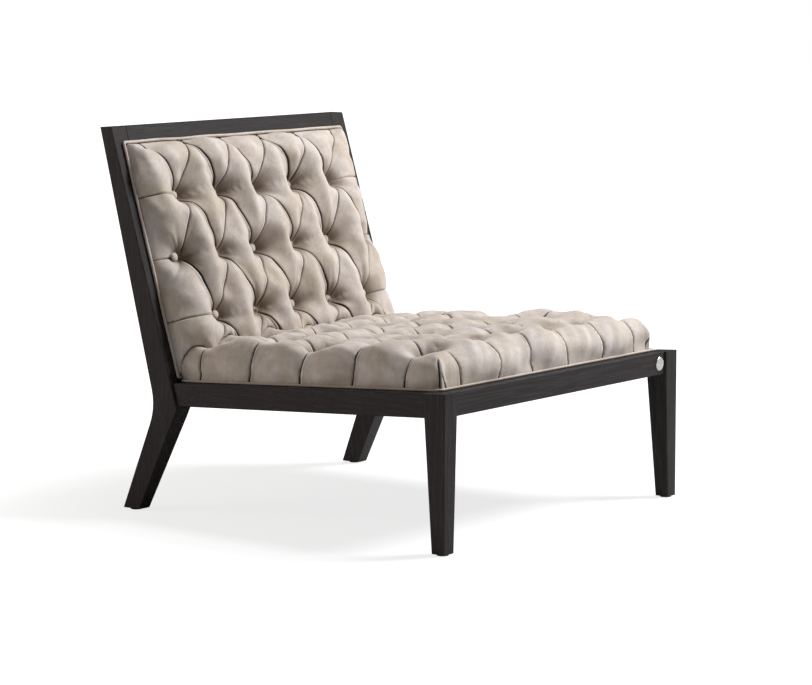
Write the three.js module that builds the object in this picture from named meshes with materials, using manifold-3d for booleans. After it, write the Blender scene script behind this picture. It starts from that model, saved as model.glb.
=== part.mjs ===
// Low slipper chair: a dark timber frame with a raked back, and two deep-tufted leather cushions
// that drop into it. Millimetres, +Z up. The sitter faces -Y, so the sitter's right is -X.
import * as THREE from "three";
import { mergeVertices } from "three/addons/utils/BufferGeometryUtils.js";
import Module from "manifold-3d";

const wasm = await Module();
wasm.setup();

// Overall sizes
const FRONT_WIDTH = 800;
const REAR_WIDTH = 740;
const OVERALL_DEPTH = 853;
const OVERALL_HEIGHT = 752;
const SEAT_FRAME_HEIGHT = 298.5;
const SEAT_FALL = 38;

// Clearances and edges
const FIT = 0.3;
const OVERRUN = 2;
const EDGE_EASE = 1.2;

// Front legs, tapered on the inner and rear faces below the rails
const LEG_WIDTH = 40;
const LEG_DEPTH = 46;
const LEG_FOOT_WIDTH = 30;
const LEG_FOOT_DEPTH = 29;

// Back posts: one piece from the foot through the knee to the top
const POST_WIDTH = 43;
const POST_FOOT_WIDTH = 30;
const KNEE_HEIGHT = 210;
const KNEE_FRONT = 662.5;
const KNEE_DEPTH = 56;
const KNEE_SOFTENING = 34;
const POST_TOP_DEPTH = 29;
const POST_FOOT_FRONT = 761;
const POST_FOOT_DEPTH = 42;

// Rails
const RAIL_HEIGHT = 45;
const RAIL_THICKNESS = 24;
const RAIL_SETBACK = 5;
const BACK_RAIL_THICKNESS = 27;
const TOP_RAIL_REVEAL = 30;
const POST_REVEAL = 24;
const REAR_RAIL_RISE = 5.5;
const BACK_BOARD_START = 58;
const RAIL_LIP = 17;

// Mortise and tenon joints
const TENON_THICKNESS = 10;
const TENON_SHOULDER = 6;
const LEG_TENON_LENGTH = 21;
const POST_TENON_LENGTH = 28;
const CROSS_TENON_LENGTH = 17;

// Corner blocks, boards and cloth
const BLOCK_HEIGHT = 28;
const BLOCK_REACH = 64;
const SEAT_BOARD_THICKNESS = 12;
const BACK_BOARD_THICKNESS = 12;
const OUTSIDE_BACK_THICKNESS = 7;
const OUTSIDE_BACK_EASE = 2;
const DUST_COVER_THICKNESS = 1;
const DUST_COVER_INSET = 8;

// Cushions
const WELT_DIAMETER = 6;
const WELT_CLEARANCE = 0.5;
const WELT_CORNER = 9;
const SEAT_WELT_INSET = 28;
const SEAT_REAR_WELT_INSET = 20;
const BACK_WELT_INSET = 23;
const BACK_WELT_DROP = 32;
const SEAT_CREST = 84;
const SEAT_BUTTON_DEPTH = 42;
const BACK_CREST_AT_TOP = 46;
const BACK_CREST_AT_SEAT = 92;
const BACK_BUTTON_DEPTH = 44;
const PLEAT_DEPTH = 17;
const EDGE_PLEAT_DEPTH = 4;
const BUTTON_PULL_RADIUS = 30;
const RIM_TURN = 9;
const RIM_BULGE = 1.5;
const CORNER_DRAW = 2;

// Fasteners and feet
const SCREW_DIAMETER = 4;
const SCREW_HEAD_DIAMETER = 8;
const SCREW_HEAD_HEIGHT = 2.4;
const SCREW_POINT = 3;
const SCREW_BITE = 8;
const GLIDE_DIAMETER = 22;
const GLIDE_THICKNESS = 2.5;
const GLIDE_PIN_DIAMETER = 5;
const GLIDE_PIN_LENGTH = 16;
const DISC_DIAMETER = 28;
const DISC_THICKNESS = 1.6;
const DISC_RIM = 1;
const DISC_PIN_DIAMETER = 5;
const DISC_PIN_LENGTH = 9;
const DISC_INSET = 58;

// Counts
const TUFT_COLUMNS = 6;
const SEAT_ROWS = 5;
const BACK_ROWS = 3;
const STEPS_PER_TUFT = 4;
const ROUND_SIDES = 16;
const PIN_SIDES = 12;
const KNEE_STEPS = 5;
const WELT_CORNER_STEPS = 4;
const WELT_ROUND_STEPS = 3;

// A cushion's rim in four steps, from its outer buttons to the edge: how high each step stands,
// how deep its folds are, and how far the seat's rear one leans back with the posts. The back
// cushion thins out sooner at its top and most of all at its sides
const RIM_HEIGHT_SHARES = [1, 0.98, 0.8, 0.42, 0];
const BACK_TOP_HEIGHT_SHARES = [1, 0.97, 0.53, 0.2, 0];
const BACK_SIDE_HEIGHT_SHARES = [0.8, 0.6, 0.38, 0.17, 0];
const RIM_FOLD_SHARES = [1, 0.4, 0.25, 0.25, 0.25];
const REAR_LEAN_SHARES = [0, 0.5, 1, 1, 1];
// Where the second of those steps lies across the rim
const RIM_MIDDLE_SHARE = 0.5;
// Rim widths as shares of the distance between rows, or between a row's buttons at the sides
const SEAT_SIDE_RIM_SHARE = 0.48;
const SEAT_FRONT_RIM_SHARE = 0.64;
const SEAT_REAR_RIM_SHARE = 0.29;
const BACK_SIDE_RIM_SHARE = 0.36;
const BACK_LOW_RIM_SHARE = 0.89;
const BACK_TOP_RIM_SHARE = 0.86;
// Screw places as shares of the back board's half width and of a corner block's reach
const BACK_SCREW_SHARE = 0.55;
const FRONT_SCREW_SHARE = 0.25;
const REAR_SCREW_SHARE = 0.33;
// The flat middle of a welt's round section as a share of its radius
const WELT_CORE_SHARE = 0.25;
// Points closer than this share of the fit are one point
const SAME_POINT_SHARE = 0.001;

// Planes that the parts share
const halfFront = FRONT_WIDTH / 2;
const halfRear = REAR_WIDTH / 2;
const topFront = OVERALL_DEPTH - POST_TOP_DEPTH;
const rake = Math.atan2(topFront - KNEE_FRONT, OVERALL_HEIGHT - KNEE_HEIGHT);
const sinRake = Math.sin(rake);
const cosRake = Math.cos(rake);
const fallRate = SEAT_FALL / KNEE_FRONT;

// Seat places are (x, y, height over the top of the seat frame, which falls to the rear)
const seatPlane = new THREE.Matrix4().set(
  1, 0, 0, 0,
  0, 1, 0, 0,
  0, -fallRate, 1, SEAT_FRAME_HEIGHT,
  0, 0, 0, 1,
);
// Back places are (x, distance up the slope from the knee, distance in front of the posts)
const backTilt = Math.PI / 2 - rake;
const backPlane = new THREE.Matrix4().makeRotationX(backTilt).setPosition(0, KNEE_FRONT, KNEE_HEIGHT);
const upright = new THREE.Matrix4();

const frameTopAt = (y) => SEAT_FRAME_HEIGHT - fallRate * y;
const postFrontAt = (z) => KNEE_FRONT + (z - KNEE_HEIGHT) * Math.tan(rake);
const slopeToSide = (up, out) => [
  KNEE_FRONT + up * sinRake - out * cosRake,
  KNEE_HEIGHT + up * cosRake + out * sinRake,
];
const sideToSlope = (y, z) => [
  (y - KNEE_FRONT) * sinRake + (z - KNEE_HEIGHT) * cosRake,
  (KNEE_FRONT - y) * cosRake + (z - KNEE_HEIGHT) * sinRake,
];

const timber = { color: 0x231d1b, roughness: 0.55, metalness: 0 };
const plywood = { color: 0xb99a6b, roughness: 0.8, metalness: 0 };
const leather = { color: 0xa79b90, roughness: 0.85, metalness: 0 };
const steel = { color: 0xb4b6b8, roughness: 0.35, metalness: 1 };
const nylon = { color: 0x1b1b1c, roughness: 0.6, metalness: 0 };
const cambric = { color: 0x141414, roughness: 0.95, metalness: 0 };

// Shapes and booleans

function bare(geometry) {
  const copy = geometry.clone();
  copy.deleteAttribute("normal");
  copy.deleteAttribute("uv");
  return mergeVertices(copy, FIT * SAME_POINT_SHARE);
}

function solid(geometry) {
  const merged = bare(geometry);
  const vertProperties = Float32Array.from(merged.attributes.position.array);
  const triVerts = Uint32Array.from(merged.index.array);
  return new wasm.Manifold(new wasm.Mesh({ numProp: 3, vertProperties, triVerts }));
}

function fromSolid(body) {
  const mesh = body.getMesh();
  return fromTriangles(mesh.vertProperties, mesh.triVerts);
}

function fromTriangles(positions, indices) {
  const geometry = new THREE.BufferGeometry();
  geometry.setAttribute("position", new THREE.Float32BufferAttribute(Array.from(positions), 3));
  geometry.setIndex(Array.from(indices));
  geometry.computeVertexNormals();
  return geometry;
}

// The base with some pieces joined on and some cut away
function carved(base, joined, cuts) {
  let body = solid(base);
  for (const piece of joined) body = body.add(solid(piece));
  for (const piece of cuts) body = body.subtract(solid(piece));
  return fromSolid(body);
}

function mirrored(geometry) {
  const copy = bare(geometry).applyMatrix4(new THREE.Matrix4().makeScale(-1, 1, 1));
  const order = Array.from(copy.index.array);
  for (let i = 0; i < order.length; i += 3) {
    [order[i + 1], order[i + 2]] = [order[i + 2], order[i + 1]];
  }
  return fromTriangles(copy.attributes.position.array, order);
}

function block(x, y, z, plane = upright) {
  const size = [x, y, z].map(([low, high]) => high - low);
  const middle = [x, y, z].map(([low, high]) => (low + high) / 2);
  return new THREE.BoxGeometry(...size).translate(...middle).applyMatrix4(plane);
}

function outline(points) {
  return new THREE.Shape(points.map(([a, b]) => new THREE.Vector2(a, b)));
}

// A shape pushed from bottom to top, with its long edges eased
function pushed(shape, bottom, top, ease) {
  const options = { depth: top - bottom - 2 * ease, bevelEnabled: ease > 0, curveSegments: KNEE_STEPS };
  Object.assign(options, { bevelThickness: ease, bevelSize: ease, bevelOffset: -ease, bevelSegments: 1 });
  return new THREE.ExtrudeGeometry(shape, options).translate(0, 0, bottom + ease);
}

const planToSeat = (points, bottom, top, ease = 0) =>
  pushed(outline(points), bottom, top, ease).applyMatrix4(seatPlane);

// A side outline (y, z) pushed along X
const sideToX = new THREE.Matrix4().set(0, 0, 1, 0, 1, 0, 0, 0, 0, 1, 0, 0, 0, 0, 0, 1);
const acrossX = (shape, xLow, xHigh, ease = 0) => pushed(shape, xLow, xHigh, ease).applyMatrix4(sideToX);

// A closed skin through rings of equal length, each counter-clockwise seen from above
function loft(rings) {
  const count = rings[0].length;
  const indices = [];
  for (let r = 0; r + 1 < rings.length; r += 1) {
    for (let i = 0; i < count; i += 1) {
      const low = r * count + i;
      const next = r * count + ((i + 1) % count);
      indices.push(low, next, next + count, low, next + count, low + count);
    }
  }
  const last = (rings.length - 1) * count;
  for (let i = 1; i + 1 < count; i += 1) {
    indices.push(0, i + 1, i);
    indices.push(last, last + i, last + i + 1);
  }
  return fromTriangles(rings.flat(2), indices);
}

// A turned piece on the Z axis, from [radius, height] points that start and end on the axis
function turned(profile, sides) {
  const points = profile.map(([radius, height]) => new THREE.Vector2(radius, height));
  return new THREE.LatheGeometry(points, sides).rotateX(Math.PI / 2);
}

// Screws lie along +Z with the head's flat face at 0
function screw(length, allowance = 0) {
  const head = SCREW_HEAD_DIAMETER / 2 + allowance;
  const shank = SCREW_DIAMETER / 2 + allowance;
  const profile = [
    [0, -allowance],
    [head, -allowance],
    [shank, SCREW_HEAD_HEIGHT],
    [shank, length - SCREW_POINT + allowance],
    [0, length + allowance],
  ];
  return turned(profile, PIN_SIDES);
}

// Places that the frame's pieces share, on the sitter's right, where x is negative

const sideRailOuterAt = (y) => {
  const along = (y - LEG_DEPTH) / (KNEE_FRONT - LEG_DEPTH);
  return -(halfFront + (halfRear - halfFront) * along) + RAIL_SETBACK;
};
const sideRailTurn = Math.atan2(halfFront - halfRear, KNEE_FRONT - LEG_DEPTH);
const sideRailInnerAt = (y) => sideRailOuterAt(y) + RAIL_THICKNESS / Math.cos(sideRailTurn);
const frontRailInner = RAIL_SETBACK + RAIL_THICKNESS;
const postInner = -(halfRear - POST_WIDTH);
const legInner = -(halfFront - LEG_WIDTH);
const tenonHeight = [TENON_SHOULDER - RAIL_HEIGHT, -TENON_SHOULDER];
const grow = ([low, high], by) => [low - by, high + by];

// The boards in the back: how far up they end, how deep their recesses are, and half their width
const postTopUp = (OVERALL_HEIGHT - KNEE_HEIGHT) / cosRake;
const backBoardEnd = postTopUp - TOP_RAIL_REVEAL;
const boardSeat = BACK_BOARD_THICKNESS + FIT;
const panelSeat = BACK_RAIL_THICKNESS - OUTSIDE_BACK_THICKNESS - FIT;
const boardHalfWidth = halfRear - POST_REVEAL - FIT;

function frontTenon(allowance) {
  const middle = RAIL_SETBACK + RAIL_THICKNESS / 2;
  const x = [legInner - LEG_TENON_LENGTH, legInner + OVERRUN];
  const y = [middle - TENON_THICKNESS / 2, middle + TENON_THICKNESS / 2];
  return block(grow(x, allowance), grow(y, allowance), grow(tenonHeight, allowance), seatPlane);
}

function sideTenonAtLeg(allowance) {
  const middle = sideRailOuterAt(LEG_DEPTH) + RAIL_THICKNESS / 2;
  const x = [middle - TENON_THICKNESS / 2, middle + TENON_THICKNESS / 2];
  const y = [LEG_DEPTH - LEG_TENON_LENGTH, LEG_DEPTH + FIT + OVERRUN];
  return block(grow(x, allowance), grow(y, allowance), grow(tenonHeight, allowance), seatPlane);
}

function sideTenonAtPost(allowance) {
  const middle = sideRailOuterAt(KNEE_FRONT) + RAIL_THICKNESS / 2;
  const shoulder = postFrontAt(frameTopAt(KNEE_FRONT));
  const x = [middle - TENON_THICKNESS / 2, middle + TENON_THICKNESS / 2];
  const y = [KNEE_FRONT - POST_TENON_LENGTH, shoulder + POST_TENON_LENGTH];
  return block(grow(x, allowance), grow(y, allowance), grow(tenonHeight, allowance), seatPlane);
}

// A cross rail's tenon into the post, in back places
function crossTenon(up, allowance) {
  const x = [postInner - CROSS_TENON_LENGTH, postInner + OVERRUN];
  const middle = -BACK_RAIL_THICKNESS / 2;
  const out = [middle - TENON_THICKNESS / 2, middle + TENON_THICKNESS / 2];
  return block(grow(x, allowance), grow(up, allowance), grow(out, allowance), backPlane);
}
const rearTenonRise = [REAR_RAIL_RISE + TENON_SHOULDER, BACK_BOARD_START - TENON_SHOULDER];
const topTenonRise = [backBoardEnd + TENON_SHOULDER, backBoardEnd + TOP_RAIL_REVEAL - TENON_SHOULDER];

// Everything behind the plane of the posts' fronts, less the fit
function behindPosts() {
  const low = -KNEE_HEIGHT;
  const high = OVERALL_HEIGHT;
  const points = [[low, FIT], [high, FIT], [high, -OVERALL_DEPTH], [low, -OVERALL_DEPTH]];
  return acrossX(outline(points.map(([up, out]) => slopeToSide(up, out))), -FRONT_WIDTH, FRONT_WIDTH);
}

// Frame pieces

// A leg's section at one height, with eased corners; inner and rear are its tapered faces
function legRing(inner, rear, heightAt) {
  const outer = -halfFront;
  const e = EDGE_EASE;
  const corners = [
    [outer + e, 0], [inner - e, 0], [inner, e], [inner, rear - e],
    [inner - e, rear], [outer + e, rear], [outer, rear - e], [outer, e],
  ];
  return corners.map(([x, y]) => [x, y, heightAt(y)]);
}

const frontGlideAt = [-halfFront + LEG_FOOT_WIDTH / 2, LEG_FOOT_DEPTH / 2];
const rearGlideAt = [-halfRear + POST_FOOT_WIDTH / 2, POST_FOOT_FRONT + POST_FOOT_DEPTH / 2];

function glide(allowance = 0) {
  const profile = [
    [0, 0],
    [GLIDE_DIAMETER / 2, 0],
    [GLIDE_DIAMETER / 2, GLIDE_THICKNESS],
    [GLIDE_PIN_DIAMETER / 2 + allowance, GLIDE_THICKNESS],
    [GLIDE_PIN_DIAMETER / 2 + allowance, GLIDE_THICKNESS + GLIDE_PIN_LENGTH + allowance],
    [0, GLIDE_THICKNESS + GLIDE_PIN_LENGTH + allowance],
  ];
  return turned(profile, ROUND_SIDES);
}

function frontLeg() {
  const footHeight = GLIDE_THICKNESS + FIT;
  const rings = [
    legRing(-halfFront + LEG_FOOT_WIDTH, LEG_FOOT_DEPTH, () => footHeight),
    legRing(legInner, LEG_DEPTH, (y) => frameTopAt(y) - RAIL_HEIGHT),
    legRing(legInner, LEG_DEPTH, frameTopAt),
  ];
  const [x, y] = frontGlideAt;
  return carved(loft(rings), [], [frontTenon(FIT), sideTenonAtLeg(FIT), glide(FIT).translate(x, y, 0)]);
}

function rearPost() {
  const footHeight = GLIDE_THICKNESS + FIT;
  const kneeBack = KNEE_FRONT + KNEE_DEPTH;
  const footBack = POST_FOOT_FRONT + POST_FOOT_DEPTH;
  const lower = KNEE_SOFTENING / KNEE_HEIGHT;
  const upper = KNEE_SOFTENING / (OVERALL_HEIGHT - KNEE_HEIGHT);
  const shape = new THREE.Shape();
  shape.moveTo(KNEE_FRONT, KNEE_HEIGHT);
  shape.lineTo(POST_FOOT_FRONT, footHeight);
  shape.lineTo(footBack, footHeight);
  shape.lineTo(kneeBack + (footBack - kneeBack) * lower, KNEE_HEIGHT - KNEE_SOFTENING);
  shape.quadraticCurveTo(
    kneeBack, KNEE_HEIGHT,
    kneeBack + (OVERALL_DEPTH - kneeBack) * upper, KNEE_HEIGHT + KNEE_SOFTENING,
  );
  shape.lineTo(OVERALL_DEPTH, OVERALL_HEIGHT);
  shape.lineTo(topFront, OVERALL_HEIGHT);
  const body = acrossX(shape, -halfRear, postInner, EDGE_EASE);

  const footInner = -halfRear + POST_FOOT_WIDTH;
  const taper = outline([
    [postInner, KNEE_HEIGHT], [footInner, footHeight],
    [footInner, -OVERRUN], [postInner + POST_WIDTH, -OVERRUN], [postInner + POST_WIDTH, KNEE_HEIGHT],
  ]);
  const taperCut = pushed(taper, -OVERALL_DEPTH, 0, 0).rotateX(Math.PI / 2);
  const boardRecess = block(
    [-boardHalfWidth - FIT, postInner + OVERRUN],
    [BACK_BOARD_START - FIT, backBoardEnd + FIT],
    [-boardSeat, OVERRUN],
    backPlane,
  );
  const [x, y] = rearGlideAt;
  return carved(body, [], [
    taperCut,
    boardRecess,
    sideTenonAtPost(FIT),
    crossTenon(rearTenonRise, FIT),
    crossTenon(topTenonRise, FIT),
    glide(FIT).translate(x, y, 0),
  ]);
}

function frontRail() {
  const end = legInner + FIT;
  const plan = [[end, RAIL_SETBACK], [-end, RAIL_SETBACK], [-end, frontRailInner], [end, frontRailInner]];
  const tenon = frontTenon(0);
  return carved(planToSeat(plan, -RAIL_HEIGHT, 0, EDGE_EASE), [tenon, mirrored(tenon)], [disc(FIT)]);
}

function sideRail() {
  const start = LEG_DEPTH + FIT;
  const end = OVERALL_DEPTH;
  const plan = [
    [sideRailOuterAt(start), start], [sideRailInnerAt(start), start],
    [sideRailInnerAt(end), end], [sideRailOuterAt(end), end],
  ];
  const bar = carved(planToSeat(plan, -RAIL_HEIGHT, 0, EDGE_EASE), [], [behindPosts()]);
  return carved(bar, [sideTenonAtLeg(0), sideTenonAtPost(0)], []);
}

// A back rail's outline in back places, with the recesses for both boards and the lip between.
// away is +1 where the rail lies above the boards and -1 where it lies below them
function backRailOutline(edge, away, outer) {
  const lip = edge - away * RAIL_LIP;
  const shoulder = edge + away * FIT;
  return [
    ...outer,
    [shoulder, -BACK_RAIL_THICKNESS], [shoulder, -panelSeat],
    [lip, -panelSeat], [lip, -boardSeat],
    [shoulder, -boardSeat], [shoulder, 0],
  ];
}

function backRail(points, tenonRise, screwRise) {
  const end = postInner + FIT;
  const body = acrossX(outline(points.map(([up, out]) => slopeToSide(up, out))), end, -end);
  const tenon = crossTenon(tenonRise, 0);
  const screws = [-1, 1].map((side) => backScrew(side, screwRise, FIT));
  return carved(body, [tenon, mirrored(tenon)], screws);
}

function topRail() {
  const topUpBehind = postTopUp + BACK_RAIL_THICKNESS * Math.tan(rake);
  const outer = [[postTopUp, 0], [topUpBehind, -BACK_RAIL_THICKNESS]];
  return backRail(backRailOutline(backBoardEnd, 1, outer), topTenonRise, topScrewRise);
}

function rearRail() {
  const outer = [[REAR_RAIL_RISE, 0], [REAR_RAIL_RISE, -BACK_RAIL_THICKNESS]];
  return backRail(backRailOutline(BACK_BOARD_START, -1, outer), rearTenonRise, lowScrewRise);
}

// Screws through the rails' lips into the back board, heads to the rear
const topScrewRise = backBoardEnd - RAIL_LIP / 2;
const lowScrewRise = BACK_BOARD_START + RAIL_LIP / 2;
const screwSpread = boardHalfWidth * BACK_SCREW_SHARE;

function backScrew(side, up, allowance = 0) {
  const length = panelSeat - boardSeat + SCREW_BITE;
  return screw(length, allowance).translate(side * screwSpread, up, -panelSeat).applyMatrix4(backPlane);
}

// Corner blocks, glued into the seat frame's corners under the seat board
const blockTop = -SEAT_BOARD_THICKNESS - FIT;
const blockBottom = blockTop - BLOCK_HEIGHT;
const frontBlockScrewAt = [legInner + FIT + BLOCK_REACH * FRONT_SCREW_SHARE, LEG_DEPTH + FIT];
const rearScrewInset = BLOCK_REACH * REAR_SCREW_SHARE;
const rearBlockScrewAt = [sideRailInnerAt(KNEE_FRONT) + rearScrewInset, KNEE_FRONT - rearScrewInset];

function seatScrew([x, y], allowance = 0) {
  const length = BLOCK_HEIGHT + FIT + SCREW_BITE;
  return screw(length, allowance).translate(x, y, frameTopAt(y) + blockBottom);
}

function frontBlock() {
  const x = legInner + FIT;
  const y = LEG_DEPTH + FIT;
  const rail = frontRailInner + FIT;
  const reach = LEG_DEPTH + BLOCK_REACH;
  const plan = [
    [x, rail], [x + BLOCK_REACH, rail], [sideRailInnerAt(reach) + FIT, reach],
    [sideRailInnerAt(y) + FIT, y], [x, y],
  ];
  return carved(planToSeat(plan, blockBottom, blockTop), [], [seatScrew(frontBlockScrewAt, FIT)]);
}

function rearBlock() {
  const start = KNEE_FRONT - BLOCK_REACH;
  const end = OVERALL_DEPTH;
  const plan = [
    [sideRailInnerAt(start) + FIT, start],
    [sideRailInnerAt(start) + FIT + end - start, end],
    [sideRailInnerAt(end) + FIT, end],
  ];
  const cuts = [behindPosts(), seatScrew(rearBlockScrewAt, FIT)];
  return carved(planToSeat(plan, blockBottom, blockTop), [], cuts);
}

// Boards and cloth

const bothSides = (points) => [...points, ...points.map(([x, y]) => [-x, y]).reverse()];

function seatBoard() {
  const y = LEG_DEPTH + FIT;
  const end = OVERALL_DEPTH;
  const plan = bothSides([
    [legInner + FIT, frontRailInner + FIT], [legInner + FIT, y],
    [sideRailInnerAt(y) + FIT, y], [sideRailInnerAt(end) + FIT, end],
  ]);
  const screws = [frontBlockScrewAt, rearBlockScrewAt].map((place) => seatScrew(place, FIT));
  const cuts = [behindPosts(), ...screws, ...screws.map(mirrored)];
  return carved(planToSeat(plan, -SEAT_BOARD_THICKNESS, 0), [], cuts);
}

function dustCover() {
  const clear = DUST_COVER_INSET;
  const y = LEG_DEPTH + clear;
  const end = KNEE_FRONT - clear;
  const plan = bothSides([
    [legInner + clear, RAIL_SETBACK + clear], [legInner + clear, y],
    [sideRailOuterAt(y) + clear, y], [sideRailOuterAt(end) + clear, end],
  ]);
  const top = -RAIL_HEIGHT - FIT;
  return planToSeat(plan, top - DUST_COVER_THICKNESS, top);
}

function backBoard() {
  const board = block(
    [-boardHalfWidth, boardHalfWidth],
    [BACK_BOARD_START, backBoardEnd],
    [-BACK_BOARD_THICKNESS, 0],
    backPlane,
  );
  const places = [[-1, topScrewRise], [1, topScrewRise], [-1, lowScrewRise], [1, lowScrewRise]];
  return carved(board, [], places.map(([side, up]) => backScrew(side, up, FIT)));
}

function outsideBack() {
  const half = -postInner - FIT;
  const start = BACK_BOARD_START;
  const plan = [[-half, start], [half, start], [half, backBoardEnd], [-half, backBoardEnd]];
  const low = -BACK_RAIL_THICKNESS;
  return pushed(outline(plan), low, low + OUTSIDE_BACK_THICKNESS, OUTSIDE_BACK_EASE);
}

// Welts: a round cord in a closed loop, as a thin ring whose bevels make the round section
function welt(corners) {
  const radius = WELT_DIAMETER / 2;
  const core = radius * WELT_CORE_SHARE;
  const loop = (inset, corner) => roundedLoop(corners, inset, corner);
  const shape = new THREE.Shape(loop(-core, WELT_CORNER + core));
  shape.holes.push(new THREE.Path(loop(core, WELT_CORNER - core)));
  const options = { depth: core, bevelEnabled: true, bevelSegments: WELT_ROUND_STEPS };
  Object.assign(options, { bevelThickness: radius - core / 2, bevelSize: radius - core });
  return new THREE.ExtrudeGeometry(shape, options).translate(0, 0, -core / 2);
}

// The corners' polygon, drawn in by inset, with round corners as short runs of points
function roundedLoop(corners, inset, corner) {
  const points = [];
  corners.forEach(([x, y], i) => {
    const [px, py] = corners[(i + corners.length - 1) % corners.length];
    const [nx, ny] = corners[(i + 1) % corners.length];
    const into = new THREE.Vector2(x - px, y - py).normalize();
    const onward = new THREE.Vector2(nx - x, ny - y).normalize();
    const bend = Math.acos(THREE.MathUtils.clamp(into.dot(onward), -1, 1));
    const half = Math.tan(bend / 2);
    const from = new THREE.Vector2(x, y).addScaledVector(into, -(inset + corner) * half);
    const centre = from.clone().add(new THREE.Vector2(-into.y, into.x).multiplyScalar(inset + corner));
    const start = Math.atan2(-into.x, into.y);
    for (let k = 0; k <= WELT_CORNER_STEPS; k += 1) {
      const angle = start + (bend * k) / WELT_CORNER_STEPS;
      points.push(new THREE.Vector2(
        centre.x + corner * Math.cos(angle),
        centre.y + corner * Math.sin(angle),
      ));
    }
  });
  return points;
}

const weltHeight = WELT_DIAMETER / 2 + FIT;
const weltToCushion = WELT_DIAMETER / 2 + WELT_CLEARANCE;

// Where the seat's rear welt runs: just in front of the welt that comes down the back
const backWeltFront = (WELT_DIAMETER + 2 * FIT) / cosRake;
const seatWeltRear = postFrontAt(frameTopAt(KNEE_FRONT)) - backWeltFront - WELT_DIAMETER / 2 - FIT;
const seatWeltFront = RAIL_SETBACK + SEAT_WELT_INSET;
const seatEdgeAt = (y) => {
  const along = (y - seatWeltFront) / (seatWeltRear - seatWeltFront);
  return sideRailOuterAt(y) + SEAT_WELT_INSET + (SEAT_REAR_WELT_INSET - SEAT_WELT_INSET) * along;
};

function seatWelt() {
  const corners = [
    [seatEdgeAt(seatWeltFront), seatWeltFront], [-seatEdgeAt(seatWeltFront), seatWeltFront],
    [-seatEdgeAt(seatWeltRear), seatWeltRear], [seatEdgeAt(seatWeltRear), seatWeltRear],
  ];
  return welt(corners).translate(0, 0, weltHeight).applyMatrix4(seatPlane);
}

const backWeltX = halfRear - BACK_WELT_INSET;
const backWeltTop = postTopUp - BACK_WELT_DROP;
const backWeltLow = BACK_BOARD_START + WELT_DIAMETER / 2;

function backWelt() {
  const corners = [
    [-backWeltX, backWeltLow], [backWeltX, backWeltLow],
    [backWeltX, backWeltTop], [-backWeltX, backWeltTop],
  ];
  return welt(corners).translate(0, 0, weltHeight);
}

// Deep tufting. Buttons stand on every other crossing of a lattice of columns and rows, so that
// each row is set over by half a tuft. Folds run between neighbouring buttons and leave a pillow
// in every diamond. From a row's outer buttons, and at the seat's front and rear, they run
// straight out to the edge.

// How folded the cover is at a place, from 0 on a pillow's crest to 1 in a fold
const foldShare = (distance) => 1 - Math.sqrt(Math.max(0, 1 - (1 - Math.min(distance, 1)) ** 2));

const isButton = (column, row, pad) =>
  Math.abs(column) < TUFT_COLUMNS && row >= 1 && row <= pad.rows && (column + row + pad.shift) % 2 === 0;

function foldAt(column, row, pad) {
  const c = Math.min(Math.floor(column), TUFT_COLUMNS - 1);
  const r = Math.min(Math.floor(row), pad.rows);
  const a = column - c;
  const b = row - r;
  const straight = foldShare(2 * Math.abs(row - Math.round(row)));
  const outside = Math.abs(c + 0.5) > TUFT_COLUMNS - 1;
  if (outside) return straight;
  const straightEnds = pad.straightEnds && (r === 0 || r === pad.rows);
  if (straightEnds) {
    const endRow = r === 0 ? 1 : pad.rows;
    const atButton = (c + endRow + pad.shift) % 2 === 0 ? a : 1 - a;
    return foldShare(atButton);
  }
  const rising = (c + r + pad.shift) % 2 === 0;
  const across = foldShare(Math.abs(rising ? a - b : a + b - 1));
  const nextToSide = Math.abs(c + 0.5) > TUFT_COLUMNS - 2;
  const nearRow = Math.round(row);
  const outerColumn = TUFT_COLUMNS - 1;
  const rowStopsShort = !isButton(outerColumn, nearRow, pad) && nearRow >= 1 && nearRow <= pad.rows;
  return nextToSide && rowStopsShort ? Math.max(across, straight) : across;
}

// A tufted cushion on its base plane: columns across, rows along, and heights over the base
function tuftedCushion(pad) {
  const acrossSteps = 2 * TUFT_COLUMNS * STEPS_PER_TUFT;
  const alongSteps = (pad.rows + 1) * STEPS_PER_TUFT;
  const positions = [];
  for (let j = 0; j <= alongSteps; j += 1) {
    for (let i = 0; i <= acrossSteps; i += 1) {
      positions.push(...cushionPoint(i, j, pad));
    }
  }
  return fromTriangles(...closedGrid(positions, acrossSteps, alongSteps, pad));
}

// How far inside the edge each step of a rim lies, from its outer buttons to the edge
const rimInside = (rim, bulge) => [rim, rim * RIM_MIDDLE_SHARE, RIM_TURN, -bulge, 0];

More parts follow.
